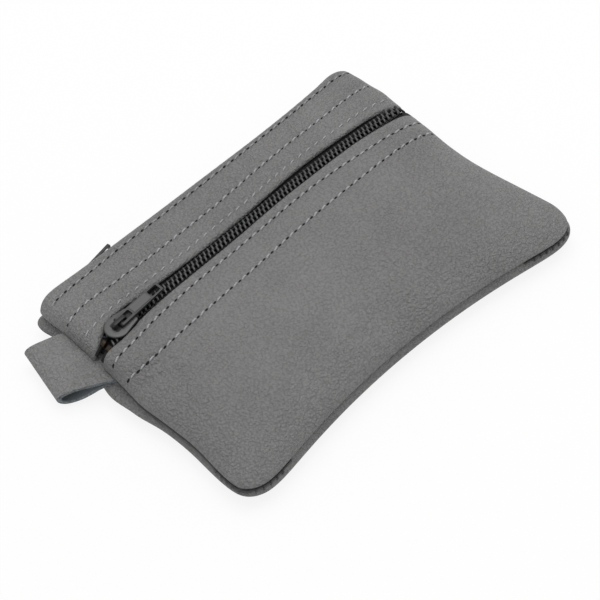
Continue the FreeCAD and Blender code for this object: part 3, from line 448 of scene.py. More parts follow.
def cut_plate(name, outlines, low, high, transform, bevel, body, slot, finish, nodes=(), segments=2):
    """Flat plate: an outline and its holes filled, raised from low to high, its rims rounded by a bevel."""
    shape = bmesh.new()
    edges = []
    for outline in outlines:
        ring = [shape.verts.new((x, y, low)) for x, y in outline]
        edges += [shape.edges.new(pair) for pair in zip(ring, ring[1:] + ring[:1])]
    bmesh.ops.triangle_fill(shape, use_beauty=True, use_dissolve=False, edges=edges)
    raised = bmesh.ops.extrude_face_region(shape, geom=shape.faces[:])["geom"]
    for vert in (v for v in raised if isinstance(v, bmesh.types.BMVert)):
        vert.co.z = high
    shape.verts.index_update()
    points = transform(np.array([vert.co for vert in shape.verts]))
    faces = [np.array([[vert.index for vert in face.verts]]) for face in shape.faces]
    shape.free()
    piece = new_piece(name, body, slot, finish, points, faces, nodes, 35.0)
    if bevel:
        rim = piece.modifiers.new("Rim", "BEVEL")
        rim.width, rim.segments = bevel * MM, segments
        rim.limit_method, rim.angle_limit = "ANGLE", math.radians(40)
        rim.harden_normals = True
    return piece


# Shader maths


class Wire:
    """A node's output. The operators +, -, * and / add the Math node that they stand for."""

    def __init__(self, finish, socket):
        self.finish, self.socket = finish, socket

    def maths(self, operation, first, second):
        return self.finish.node("Math", {"operation": operation}, {0: first, 1: second})

    def __add__(self, other):
        return self.maths("ADD", self, other)

    __radd__ = __add__

    def __sub__(self, other):
        return self.maths("SUBTRACT", self, other)

    def __rsub__(self, other):
        return self.maths("SUBTRACT", other, self)

    def __mul__(self, other):
        return self.maths("MULTIPLY", self, other)

    __rmul__ = __mul__

    def __truediv__(self, other):
        return self.maths("DIVIDE", self, other)


class Finish:
    """A material or a world, and the nodes that work out its colour, roughness and relief."""

    def __init__(self, name, blocks):
        self.block = blocks.new(name)
        self.block.use_nodes = True
        self.tree = self.block.node_tree
        self.tree.nodes.clear()

    @property
    def place(self):
        return self.node("TexCoord", output="Object")

    def node(self, kind, settings=None, inputs=None, output=0):
        """Adds a node, sets it up, then fills or links its inputs, and returns one of its outputs."""
        node = self.tree.nodes.new("ShaderNode" + kind)
        for key, value in (settings or {}).items():
            setattr(node, key, value)
        for key, value in (inputs or {}).items():
            if isinstance(value, Wire):
                self.tree.links.new(value.socket, node.inputs[key])
            else:
                node.inputs[key].default_value = value
        return Wire(self, node.outputs[output])

    def noise(self, scale, detail=2.0, roughness=0.5, at=None, output="Fac"):
        inputs = {"Vector": at or self.place, "Scale": scale, "Detail": detail, "Roughness": roughness}
        return self.node("TexNoise", {}, inputs, output)

    def cells(self, scale, at):
        """Distance to the nearest of scattered points."""
        return self.node("TexVoronoi", {}, {"Vector": at, "Scale": scale}, "Distance")

    def bands(self, direction, scale, distortion):
        """Sine waves across a direction."""
        inputs = {"Vector": self.place, "Scale": scale, "Distortion": distortion, "Detail": 1.0}
        return self.node("TexWave", {"wave_type": "BANDS", "bands_direction": direction}, inputs, "Fac")

    def ramp(self, value, *stops):
        """Grey levels read between two places, each stop a place and a level."""
        wire = self.node("ValToRGB", {}, {0: value})
        for stop, (at, level) in zip(wire.socket.node.color_ramp.elements, stops):
            stop.position, stop.color = at, (level, level, level, 1)
        return wire

    def blend(self, share, first, second):
        """Colour from first to second."""
        return self.node("Mix", {"data_type": "RGBA"}, {0: share, 6: first, 7: second}, 2)

    def tint(self, share, colour, low, high):
        """One colour from low to high times its strength."""
        return self.blend(share, rgb(colour, low), rgb(colour, high))

    def vector(self, operation, first, second, key=1):
        return self.node("VectorMath", {"operation": operation}, {0: first, key: second})

    def stretched(self, *scale):
        return self.vector("MULTIPLY", self.place, scale)

    def relief(self, height, depth, strength=1.0, below=None):
        inputs = {"Height": height, "Distance": depth * MM, "Strength": strength}
        if below is not None:
            inputs["Normal"] = below
        return self.node("Bump", {}, inputs)

    def seen(self):
        """1 for the rays that show the surroundings themselves: camera, glossy and transmission rays."""
        rays = [self.node("LightPath", output=kind + " Ray") for kind in ("Is Camera", "Is Glossy", "Is Transmission")]
        return rays[0].maths("MAXIMUM", rays[0].maths("MAXIMUM", rays[0], rays[1]), rays[2])

    def ends_in(self, shader, kind="Material"):
        out = self.tree.nodes.new("ShaderNodeOutput" + kind)
        self.tree.links.new(shader.socket, out.inputs["Surface"])

    def surface(self, **sockets):
        """The shader itself; names are its sockets, with spaces written as underscores."""
        inputs = {key.replace("_", " "): value for key, value in sockets.items()}
        self.ends_in(self.node("BsdfPrincipled", {}, inputs))
        return self.block


def material(name):
    return Finish(name, bpy.data.materials)


def rgb(colour, factor=1.0):
    return (colour[0] * factor, colour[1] * factor, colour[2] * factor, 1.0)


def grained_leather(name, tone=1.0, worn=0.0):
    """Soft nappa: small domed pebbles at two sizes, finer pores on them, slow slack and slow mottling, with painted
    shade between the pebbles.
    """
    settings = settings_of("leather")
    finish = material(name)
    scale = 1000.0 / settings.grain
    centred = finish.vector("SUBTRACT", finish.noise(900.0, 2.0, output="Color"), (0.5, 0.5, 0.5))
    wobble = finish.vector("ADD", finish.place, finish.vector("SCALE", centred, 0.0009, "Scale"))
    domes = finish.ramp(finish.cells(scale, wobble), (0.15, 1.0), (0.85, 0.0))
    small = finish.ramp(finish.cells(scale * 1.9, wobble), (0.1, 1.0), (0.9, 0.0))
    speckle = finish.noise(scale * 1.5, 3.0, 0.62)
    pores = finish.noise(5200.0, 3.0, 0.6)
    slack = finish.noise(170.0, 2.0, 0.5)
    folds = finish.noise(1.0, 3.0, 0.55, finish.stretched(260.0, 520.0, 380.0))
    strong = finish.ramp(finish.noise(38.0, 2.0), (0.36, 0.55), (0.66, 1.0))
    height = (domes * 0.95 + small * 0.3 + speckle * 0.5) * strong + pores * 0.2
    normal = finish.relief(slack * 0.6 + folds * 0.5, 0.5, 0.7)
    normal = finish.relief(height, settings.depth, 0.9, normal)
    mottle = finish.ramp(finish.noise(28.0, 3.0, 0.55) * 0.55 + speckle * 0.45, (0.32, 0.0), (0.68, 1.0))
    colour = finish.tint(mottle, settings.colour, 0.91 * tone, 1.09 * tone)
    # Painted shade: the colour darkens in the hollows between the pebbles, where the relief's shade falls.
    valley_shade_mask = finish.ramp(domes * 0.7 + speckle * 0.3, (0.22, 1.0), (0.62, 0.0))
    colour = finish.blend(valley_shade_mask * 0.36, colour, rgb(settings.colour, 0.5 * tone))
    if worn:
        lighter = finish.ramp(finish.noise(420.0, 3.0, 0.6), (0.45, 0.0), (0.7, 1.0))
        colour = finish.blend(lighter * worn, colour, rgb(settings.colour, 1.5 * tone))
    rough = 0.44 + valley_shade_mask * 0.2 + (pores - 0.5) * 0.12
    return finish.surface(Base_Color=colour, Roughness=rough, Normal=normal, Specular_IOR_Level=0.42)


def raw_edge():
    """Cut edge of the leather: pale bluish fibres, from a noise stretched along the edge."""
    finish = material("raw_leather_edge")
    fibres = finish.noise(1.0, 4.0, 0.65, finish.stretched(900.0, 900.0, 4200.0))
    tufts = finish.noise(2600.0, 3.0, 0.7)
    share = finish.ramp(fibres * 0.5 + tufts * 0.5, (0.42, 0.0), (0.58, 1.0))
    colour = finish.tint(share, settings_of("leather").edge_colour, 0.35, 1.4)
    normal = finish.relief(fibres + tufts, 0.4, 1.0)
    return finish.surface(Base_Color=colour, Roughness=0.85, Normal=normal, Specular_IOR_Level=0.25)


def suede():
    """Flesh side of the leather, seen inside the loop."""
    finish = material("suede_inside")
    nap = finish.noise(2400.0, 4.0, 0.7)
    colour = finish.tint(nap, settings_of("leather").edge_colour, 0.35, 1.05)
    return finish.surface(Base_Color=colour, Roughness=0.92, Normal=finish.relief(nap, 0.12, 0.8), Sheen_Weight=0.3)


def thread(name, factor=1.0):
    """Twisted thread: a fine slanted wave over it, a little sheen."""
    finish = material(name)
    plies = finish.bands("DIAGONAL", 900.0, 1.5)
    colour = finish.tint(plies, settings_of("thread").colour, 0.7 * factor, 1.12 * factor)
    normal = finish.relief(plies * 0.8 + finish.noise(4200.0, 2.0) * 0.4, 0.06, 0.8)
    return finish.surface(Base_Color=colour, Roughness=0.62, Normal=normal, Sheen_Weight=0.15)


def woven(name, colour, pitch, depth):
    """Weave: two crossed bands, one along the zip and one across it, with a herringbone's slant."""
    finish = material(name)
    warp, weft = finish.bands("X", 314.0 / pitch, 0.6), finish.bands("DIAGONAL", 220.0 / pitch, 0.4)
    cloth = warp * 0.5 + weft * 0.35 + finish.noise(3000.0, 3.0, 0.6) * 0.3
    colour, normal = finish.tint(cloth, colour, 0.5, 1.5), finish.relief(cloth, depth, 0.9)
    return finish.surface(Base_Color=colour, Roughness=0.9, Normal=normal, Specular_IOR_Level=0.3)


def moulded_coil(name, axis, low, high):
    """Drawn plastic with faint marks, with a painted highlight on the legs that stand highest and painted shade, down
    to near black, by the tape.

    The height runs along one of the object's axes, from low to high in millimetres."""
    finish = material(name)
    height = finish.node("SeparateXYZ", {}, {"Vector": finish.place}, axis) * (1 / MM)
    # Painted highlight and shade: the colour climbs with height alone, from near black by the tape to full on the
    # highest legs.
    lighter = finish.ramp((height - low) / (high - low), (0.0, 0.0), (1.0, 1.0))
    marks = finish.noise(1600.0, 2.0)
    share = lighter * (0.75 + marks * 0.5)
    colour = finish.tint(share, settings_of("zip").coil_colour, 0.05, 1.02)
    rough, normal = 0.30 + marks * 0.14, finish.relief(marks, 0.02, 0.5)
    return finish.surface(Base_Color=colour, Roughness=rough, Normal=normal, Specular_IOR_Level=0.5)


def enamel(name, colour, rough, metallic):
    """Baked paint over cast metal: faint orange peel, tiny specks and scuffed roughness."""
    finish = material(name)
    peel = finish.noise(900.0, 2.0)
    scuffs = finish.ramp(finish.noise(3200.0, 4.0, 0.7), (0.52, 0.0), (0.72, 1.0))
    colour = finish.tint(scuffs * 0.35, colour, 1.0, 1.6)
    rough, normal = rough + scuffs * 0.16 + (peel - 0.5) * 0.08, finish.relief(peel, 0.03, 0.35)
    return finish.surface(
        Base_Color=colour, Roughness=rough, Metallic=metallic, Normal=normal, Specular_IOR_Level=0.3
    )


def brass_patina_and_painted_shade():
    """Brass, darkened as a whole as painted shade of the hollow that it sits in, with darker, duller patches of patina.
    """
    finish = material("brass_patina_and_painted_shade")
    patches = finish.ramp(finish.noise(900.0, 4.0, 0.65), (0.38, 0.0), (0.66, 1.0))
    # Both colours are far darker than brass: painted shade of the hollow at the zip's end.
    colour = finish.blend(patches, (0.036, 0.024, 0.016, 1.0), (0.012, 0.010, 0.008, 1.0))
    rough, normal = 0.45 + patches * 0.25, finish.relief(patches, 0.04, 0.5)
    return finish.surface(Base_Color=colour, Roughness=rough, Metallic=0.85, Normal=normal)


def plated_steel():
    """Nickel plate with fine turning marks round the ring."""
    finish = material("plated_steel")
    marks = finish.noise(1.0, 3.0, 0.6, finish.stretched(500.0, 500.0, 6000.0))
    colour = finish.blend(marks, (0.50, 0.50, 0.51, 1.0), (0.68, 0.68, 0.69, 1.0))
    rough, normal = 0.18 + marks * 0.16, finish.relief(marks, 0.02, 0.4)
    return finish.surface(Base_Color=colour, Roughness=rough, Metallic=1.0, Normal=normal)


FINISHES = {}


def finish_of(name):
    """The finished material of a name, made once."""
    if name not in FINISHES:
        zips = settings_of("zip")
        makers = {
            "leather": lambda: grained_leather("grained_leather"),
            "back_leather": lambda: grained_leather("back_leather", 0.97),
            "loop_leather": lambda: grained_leather("loop_leather", 1.03, 0.10),
            "raw_edge": raw_edge,
            "suede": suede,
            "thread": lambda: thread("grey_thread"),
            # Painted shade: the thread's colour at 0.74, for the top row, whose stitches lie darker in shade.
            "thread_painted_shade": lambda: thread("thread_painted_shade", 0.74),
            # Painted shade: near-black domes stand for the shade inside the needle holes.
            "hole": lambda: enamel("hole_painted_shade", (0.006, 0.006, 0.007), 0.9, 0.0),
            "tape": lambda: woven("zip_tape_weave", zips.tape_colour, 0.42, 0.09),
            # Painted shade: the thread's colour at 0.09, for the dark tube in the side seams' groove and the threads
            # across it.
            "seam_painted_shade": lambda: thread("seam_painted_shade", 0.09),
            "tape_thread": lambda: thread("zip_thread", 0.05),
            "lining": lambda: woven("lining_weave", (0.06, 0.06, 0.065), 0.3, 0.05),
            # The coils get painted highlight and shade by height, between the two levels given.
            "pocket_coil": lambda: moulded_coil("pocket_coil_plastic", 2, TAPE_Z + 0.75, TAPE_Z + 1.55),
            "main_coil": lambda: moulded_coil("main_coil_plastic", 1, MAIN_Y + 0.75, MAIN_Y + 1.55),
            "slider": lambda: enamel("slider_enamel", zips.slider_colour, 0.40, 0.0),
            # Painted reflection: the slider's upper plate and the tab's panel are lighter and half metallic, standing
            # in for the light that glossy black enamel reflects; the whole tab gets 0.62 of that colour.
            "slider_painted_reflection": lambda: enamel("slider_painted_reflection", zips.painted_reflection_colour, 0.38, 0.45),
            "tab": lambda: enamel("tab_painted_reflection", [0.62 * level for level in zips.painted_reflection_colour], 0.34, 0.5),
            "brass": brass_patina_and_painted_shade,
            "steel": plated_steel,
        }
        FINISHES[name] = makers[name]()
    return FINISHES[name]


# Leather panels: share of the cosine in the rows' steps, power of the even steps, then how tuck shapes the rim

PANELS = {
    "front_lower_panel": (0.45, 1.15, 1.2, 2.2, 0.1, 0.0),
    "front_upper_panel": (0.0, 1.0, 1.0, 2.2, 0.1, 0.9),
    "back_panel": (0.6, 1.0, 1.2, 2.4, 1.1, 2.0),
}


def panel_shares(count):
    """Columns, close together at the seams: the sine of evenly spaced angles."""
    return np.sin(np.linspace(-math.pi / 2, math.pi / 2, count))


def panel_surface(node, rows, columns, depth=0.0):
    """Outside of a panel, or its inside: a copy one depth further in, with its rim inset by the depth.

    x = p * half_length and y = start + (end - start) * v, where v mixes even steps with a cosine. The front
    stands at front_z, and the back is a pillow below the seam, flat where it rests. Hems are thicker."""
    cosine, power, pull, bulge, beyond, ear = PANELS[node]
    lower, upper, back = (node == name for name in PANELS)
    outside, p = depth == 0, panel_shares(columns)[None, :]
    even = np.linspace(0, 1, rows)[:, None]
    v = cosine * (1 - np.cos(even * math.pi / 2)) + (1 - cosine) * even**power
    start = line_y("upper_lip", p * LEFT_REACH) if upper else bottom_edge(p)
    end = line_y("lower_lip", p * LEFT_REACH) if lower else top_edge(p)
    y = start + (end - start) * v
    hem = ease(2 * (1 - (end - y) / FOLD_WIDTH))
    if upper:
        hem = np.maximum(hem, ease(2 * (1 - (y - start) / FOLD_WIDTH)))
    thick = 0.0 if outside else depth + (HEM - LEATHER) * hem
    if back:
        sag = 0.35 if outside else -thick
        z = np.maximum(SEAM_Z - (SEAM_Z + sag) * pillow(p, y, 9.0, 17.0), 0.0)
        height = SEAM_Z - z
    else:
        z = front_z(p, y) - thick * pillow(p, y)
        height = z - SEAM_Z
    points = xyz(p * (half_length(p, y) - depth), y + depth * (1 - v) * (not upper), z)
    left = (end - y) / (end - start) * (not upper)
    return tuck(points, height, pull * outside, bulge, beyond * (outside or not back), ear, p, left)


def band_panel(node, rows, columns, finish):
    """A panel as a closed band: its outside, a rounded edge, its inside, and the cut rim or a second edge."""
    inner_rows, nose, both_ends = 16, 8, node == "front_upper_panel"
    outer, inner = panel_surface(node, rows, columns), panel_surface(node, inner_rows, columns, LEATHER)
    parts = [outer, round_edge(outer[-1], inner[-1], outer[-2], nose), inner[::-1]]
    if both_ends:
        parts.append(round_edge(outer[0], inner[0], outer[1], nose)[::-1])
    rings = np.concatenate(parts)
    faces = [grid_faces(len(rings), columns, wrap_rows=True)]
    row = np.arange(len(rings))
    far, near = rows + nose, rows + nose + inner_rows
    for j in (0, columns - 1):
        faces.append(laced(row[:rows], row[far:near][::-1]) * columns + j)
        faces.append(fanned(row[rows - 1 : far + 1]) * columns + j)
        if both_ends:
            faces.append(fanned(np.append(row[near - 1 :], 0)) * columns + j)
    name = node.replace("panel", "leather")
    return new_piece(name, "pouch", "leather", finish, rings, faces, (node,))


# Threads


def stitch_shape(thickness):
    """One stitch along x from hole to hole: a low arch that dips into the leather at both ends."""
    t = np.linspace(-1, 1, 7)
    path = xyz(t * settings_of("thread").pitch * 0.30, 0, thickness * (0.42 - 0.95 * t**4))
    return tube(path, thickness / 2 * np.sqrt(1.06 - t**6), 6, ACROSS)


def hole_shape(long, wide):
    """A needle hole's painted shade: a shallow dark dome of ten sides, longer than wide, set on the leather where the
    hole lies in shade.
    """
    turn = np.arange(10) * math.pi / 5
    levels = ((1.0, 1.0, -0.06), (0.7, 0.6, 0.045))
    rings = np.stack([xyz(a * long * np.cos(turn), b * wide * np.sin(turn), z) for a, b, z in levels])
    return capped(rings, (0, 0, -0.1), (0, 0, 0.05))


def seam(name, line, left, right, weight=1.0, hole=None, finish="thread", up=1.0):
    """A row of slanted stitches along a line(x), with a long dark dome of painted shade at the needle hole between each
    two.

    The holes lie at whole multiples of the pitch in x, where the grooves are deepest."""
    settings = settings_of("thread")
    x = np.arange(math.ceil(left / settings.pitch), math.floor(right / settings.pitch) + 1) * settings.pitch
    rng = np.random.default_rng(len(name) * 7 + len(x))
    offset = rng.normal(0, 0.04, len(x))

    def row(kind, colour, shape, x, offset, slant):
        """Copies of a shape on the line, each moved a little across it and turned a little out of it."""
        along = line(x + 0.4) - line(x - 0.4)
        along[:, 1] += slant
        mesh = laid(shape, line(x) + xyz(0, offset, 0), along, (0.0, 0.0, up))
        new_piece(kind + name, "pouch", "leather", colour, *mesh)

    slant = rng.normal(0.19, 0.05, len(x) - 1) * up
    shape = stitch_shape(settings.thickness * weight)
    row("stitches_", finish, shape, (x[:-1] + x[1:]) / 2, (offset[:-1] + offset[1:]) / 2, slant)
    if hole:
        row("painted_hole_shades_", "hole", hole_shape(*hole), x, offset, 0.22)


def front_line(name):
    """The line of that name as points on the front."""

    def line(x):
        y = line_y(name, x)
        return xyz(x, y, front_z(share_at(x, y), y) + 0.02)

    return line


def back_line(x):
    """Stitch line along the back's top edge."""
    return xyz(x, top_edge(x / LEFT_REACH) - 1.25, 0.12)


def painted_seam_shadow_and_ties(side, path, shows):
    """A painted shadow deep in the seam: a dark tube where the groove lies in shade, with short threads across it,
    darkened as that shade, where the seam opens.
    """
    new_piece("seam_painted_shadow_" + side, "pouch", "leather", "seam_painted_shade", *tube(path, 0.38, 6, UP))
    length = np.concatenate([[0], np.cumsum(np.linalg.norm(np.diff(path, axis=0), axis=1))])
    at = np.arange(0.8, length[-1] - 0.4, 2.1)
    middle, ahead = (np.stack([np.interp(at + on, length, path[:, k]) for k in range(3)], 1) for on in (0, 0.3))
    keep = shows(middle)
    middle, ahead = middle[keep], (ahead - middle)[keep]
    out = unit(np.cross(ahead, UP))
    t = np.linspace(-1, 1, 5)
    tie = tube(xyz(0.72 * t, 0, 0.16 - 0.22 * t**2), 0.26 * np.sqrt(1.05 - t**4), 6, ACROSS)
    mesh = laid(tie, middle + 0.5 * out, ahead + (0.0, 0.0, 0.6), out)
    new_piece("stitches_seam_" + side, "pouch", "leather", "seam_painted_shade", *mesh)


# Zips. Along the zip s, across it w, outwards n, with n = 0 on the tapes' outer face.


def pocket_space(points):
    """Front pocket's zip: straight, then bent down to the right seam on a quarter of an ellipse.

    At the left it is bent down on a circle."""
    s, w, n = points[..., 0], points[..., 1], points[..., 2]
    mean = math.sqrt((BEND_LENGTH**2 + BEND_DROP**2) / 2)
    right = np.clip((s - BEND_START) / mean, 0, math.pi / 2)
    across, down = BEND_DROP * np.sin(right), BEND_LENGTH * np.cos(right)
    size = np.sqrt(across**2 + down**2)
    left = np.maximum(LEFT_BEND_START - s, 0) / LEFT_BEND_RADIUS
    x = np.clip(s, LEFT_BEND_START, BEND_START) + BEND_LENGTH * np.sin(right) + n * across / size
    x = x - (LEFT_BEND_RADIUS + n) * np.sin(left)
    z = BEND_DROP * (np.cos(right) - 1) + n * down / size + (LEFT_BEND_RADIUS + n) * (np.cos(left) - 1)
    return xyz(x, ZIP_Y + w, TAPE_Z + z)


def bent_space(points):
    """The front pocket's zip laid in its mouth: moved across to the drawn line of the zip."""
    return pocket_space(points + xyz(0, line_y("zip", points[..., 0]) - ZIP_Y, 0))


def main_space(points):
    """Top zip: stands on edge, facing +Y, with w pointing down."""
    return xyz(points[..., 0], MAIN_Y + points[..., 2], MAIN_Z - points[..., 1])


# For each zip: its space, its sliders' space, the slider's place, the coils' end, its two sides, the yaw

ZIPS = {
    "pocket": (bent_space, pocket_space, POCKET_SLIDER_X, 55.8, ("upper", "lower"), SLIDER_YAW_DEG),
    "main": (main_space, main_space, MAIN_SLIDER_X, 54.2, ("back", "front"), 0.0),
}


def spread_at(s, slider):
    """How far a coil stands aside: apart left of the slider's wedge and together right of it."""
    return COIL_SPREAD * (1 - ease((s - slider + 1.9) / 5.0))


def coil_half(zip_name, side, node):
    """A wound coil: one wire that circles a flat stadium once in each pitch, as a helix along the zip.

    Its centre runs round the stadium at an even angle, pushed out to its flat sides by a power of the
    sine, and the whole stands aside where the zip is open. The halves are wound left and right, so that
    the upper legs of both slant alike and meet as bars across the chain."""
    space, _, slider, end = ZIPS[zip_name][:4]
    turns, steps = int((end - COIL_LEFT) / COIL_PITCH), 14
    t = np.arange(turns * steps + 1) / steps
    reach, lift = powered(np.cos(2 * math.pi * t), 0.75), powered(np.sin(2 * math.pi * t), 0.6)
    s = COIL_LEFT + COIL_PITCH * t
    w = side * (COIL_MIDDLE + COIL_REACH * reach + spread_at(s, slider))
    path = xyz(s, w, COIL_LEVEL - side * COIL_LIFT * lift)
    points, faces = tube(path, COIL_WIRE, 7, ALONG)
    new_piece(node + "_wire", "pouch", "zip_coil", zip_name + "_coil", space(points), faces, (node,))
    s = COIL_LEFT + COIL_PITCH * (np.arange(turns - 1) + 0.5)
    t = np.linspace(-1, 1, 5)
    stitch = tube(xyz(t * 0.5, 0, 0.10 * (1 - t**2)), 0.13, 5, ACROSS)
    middle = xyz(s, side * (1.62 + spread_at(s, slider)), 0.62)
    points, faces = laid(stitch, middle, np.tile(ALONG, (len(s), 1)), UP)
    new_piece(node + "_sewing", "pouch", "zip_tape", "tape_thread", space(points), faces)


def tape_piece(node, points):
    """Woven strip: a grid of its face, and the same grid one thickness behind it, closed round the rim."""
    rings = np.concatenate([points(0.0), points(-0.5)[::-1]])
    return new_piece(node + "_weave", "pouch", "zip_tape", "tape", rings, closed_band(rings), (node,))


def pocket_tape(side, node):
    """Tape across the mouth, drawn in at both ends, where the lips close over it."""
    s = np.concatenate([np.linspace(-60.2, -57.2, 9), np.linspace(-56.5, 49.0, 90), np.linspace(49.6, 60.4, 18)])
    w = np.array([0.0, 0.75, 1.75, 2.65, 5.15, 7.65])[:, None]
    narrow = (1 - 0.58 * ease((s - 43.5) / 3)) * (1 - 0.58 * ease((-52.0 - s) / 3))
    tape_piece(node, lambda n: bent_space(xyz(s, side * (0.85 + w * narrow), n)))


def main_tape(side, node):
    """Tape across the mouth, bent in under the leather round a small arc."""
    s = np.linspace(-57.2, 55.0, 110)
    bend, face_w = 0.9, 4.15

    def face(n):
        w = np.concatenate([[0.85, 1.7, 2.6], face_w - bend + (bend + n) * np.sin(QUARTER), [face_w + n] * 2])
        depth = np.concatenate([[n] * 3, (bend + n) * np.cos(QUARTER) - bend, [-3.5, -6.7]])
        return main_space(xyz(s, side * w[:, None], depth[:, None]))

    tape = tape_piece(node, face)


def shield(inset=0.0, steps=22):
    """Slider's outline: a half-round nose that tapers straight to the tail."""
    nose, tail, length = 3.65 - inset, 2.65 - inset, 4.5
    turn = np.linspace(math.pi / 2, 3 * math.pi / 2, steps)
    arc = np.stack([nose - (length - inset) + nose * np.cos(turn), nose * np.sin(turn)], 1)
    ends = rounded([arc[-1], (length, -tail), (length, tail), arc[0]], (0, 0.5, 0.5, 0), 5)
    return np.concatenate([arc, ends[1:-1]])


def slider_space(zip_name):
    """Turns a slider's and a tab's shapes a little about a point under the tab, then sets them on the zip."""
    _, space, slider, _, _, yaw_deg = ZIPS[zip_name]
    yaw = math.radians(yaw_deg)

    def put(points):
        s, w = points[..., 0] - SLIDER_YAW_ARM, points[..., 1]
        along, across = s * math.cos(yaw) - w * math.sin(yaw), s * math.sin(yaw) + w * math.cos(yaw)
        return space(xyz(along + SLIDER_YAW_ARM + slider, across, points[..., 2]))

    return put


# Upper plate of a slider: how far its outline is drawn in, and the height there

DOME = ((0.10, 1.80), (0.0, 1.90), (0.0, 2.28), (0.06, 2.40), (0.17, 2.47), (0.42, 2.50), (1.2, 2.53), (2.2, 2.54))


def slider_pieces(zip_name):
    """Plates, side walls, wedge and bridge of one slider.

    The upper plate is made of rings of its outline, drawn in as they rise, so that it ends in a low dome."""
    body, node, transform = zip_name + "_slider", zip_name + "_zip_slider", slider_space(zip_name)
    rings = np.stack([xyz(*shield(inset).T, n) for inset, n in DOME])
    points, faces = capped(rings, (0.2, 0, 1.8), (0.2, 0, 2.545))
    # The upper plate wears the painted reflection: lighter than the black enamel.
    new_piece(node + "_plate", body, "slider_metal", "slider_painted_reflection", transform(points), faces, (node,), 60.0)
    wedge = rounded([(-3.6, 0.0), (-1.9, -0.5), (0.7, 0.0), (-1.9, 0.5)], (0.1, 0.3, 0.0, 0.3), 3)
    pad = rounded([(-2.3, -1.75), (4.1, -1.6), (4.1, 1.6), (-2.3, 1.75)], (0.5, 0.2, 0.2, 0.5))
    wall = np.array([(-2.3, 3.30), (-0.85, 3.62), (4.4, 2.66), (4.4, 2.08), (-1.9, 3.22)])
    plates = {
        "_lower_plate": (shield(0.5), -1.25, -0.65, 0.12),
        "_pad": (pad, 2.44, 2.60, 0.04),
        "_wedge": (wedge, -0.66, 1.81, 0.0),
        "_wall_a": (wall, 0.25, 1.82, 0.06),
        "_wall_b": (wall * (1, -1), 0.25, 1.82, 0.06),
    }
    for name, (outline, low, high, bevel) in plates.items():
        cut_plate(node + name, [outline], low, high, transform, bevel, body, "slider_metal", "slider")
    rise = np.stack([-1.5 - 0.6 * np.cos(QUARTER), 3.34 + 0.6 * np.sin(QUARTER)], 1)
    fall = rise[::-1] * (-1, 1)
    foot = [(-2.1, 2.3), (-2.1, 2.9)]
    arch = np.concatenate([foot, rise, [(-0.6, 3.97), (0.6, 3.97)], fall, [(2.1, 2.9), (2.1, 2.3)]])
    path = xyz(arch[:, 0], 0, arch[:, 1])
    points, faces = bar(path, ACROSS, np.cross(unit(np.gradient(path, axis=0)), ACROSS), 0.66, 0.31, 0.45)
    new_piece(node + "_bridge", body, "slider_metal", "slider", transform(points), faces, (), 50.0)


def puller_pieces(zip_name, tilt_deg):
    """Tab: a plate with a window and a square hole, its raised panel, and the round bar under the bridge."""
    put = slider_space(zip_name)
    body, node = zip_name + "_puller", zip_name + "_zip_puller"
    turn = math.radians(tilt_deg)

    def transform(points):
        s = points[..., 0] * math.cos(turn) - points[..., 2] * math.sin(turn)
        n = points[..., 0] * math.sin(turn) + points[..., 2] * math.cos(turn) + 3.07
        return put(xyz(s, points[..., 1], n))

    def box(left, right, half, corner):
        return rounded([(left, -half), (right, -half), (right, half), (left, half)], (corner,) * 4)

    outline = rounded([(-0.1, -1.8), (15.4, -1.62), (15.4, 1.62), (-0.1, 1.8)], (0.3, 0.45, 0.45, 0.3))
    outlines = [outline, box(0.55, 4.3, 1.05, 0.35)[::-1], box(11.5, 14.75, 1.12, 0.3)[::-1]]
    panel = [box(4.85, 11.0, 1.28, 0.25)]
    # The tab and its panel wear painted reflection: colours lighter than the black enamel.
    cut_plate(node + "_tab", outlines, -0.42, 0.42, transform, 0.16, body, "slider_metal", "tab", (node,), 3)
    cut_plate(node + "_panel", panel, 0.3, 0.56, transform, 0.09, body, "slider_metal", "slider_painted_reflection")
    points, faces = tube(xyz(0, np.linspace(-1.72, 1.72, 5), 0), 0.45, 14, ALONG)
    new_piece(node + "_bar", body, "slider_metal", "slider", transform(points), faces)


def stop_pieces(zip_name, node):
    """Two clamps bent over the tapes' edges."""
    ring = [(0.35, -1.0), (2.25, -1.0), (2.25, -0.5), (0.85, -0.5), (0.85, 0.0), (2.25, 0.0), (2.25, 0.5), (0.35, 0.5)]
    clamp = rounded(ring, (0.35, 0.15, 0, 0, 0, 0, 0.15, 0.35))

    def transform(points):
        return ZIPS[zip_name][0](xyz(points[..., 2], points[..., 0], points[..., 1]))

    for side, name, nodes in ((1, "_clamp_a", (node,)), (-1, "_clamp_b", ())):
        outline = [clamp * (side, 1)]
        cut_plate(node + name, outline, -56.95, -55.35, transform, 0.12, "pouch", "stop_metal", "brass", nodes)


# Strips of leather: the loop and the strap


def strip_rings(path, widths, place_point):
    """Strip of even thickness along a path in the x-z plane, extruded across: its section is a rectangle.

    The path's unit normal is its direction turned by a quarter; a point is path + normal * depth."""
    direction = unit(np.gradient(path, axis=0))
    offset = np.stack([-direction[:, 1], direction[:, 0]], 1) * STRIP_LEATHER / 2
    front = [place_point(path + offset, w) for w in widths]
    return np.stack(front + [place_point(path - offset, w) for w in widths[::-1]])


# Settings of the add-on


def colour_setting(name, description, *default):
    return FloatVectorProperty(
        name=name, description=description, subtype="COLOR", size=3, min=0, max=1, default=default
    )


def size_setting(name, description, default, low, high):
    return FloatProperty(name=name, description=description, default=default, min=low, max=high)


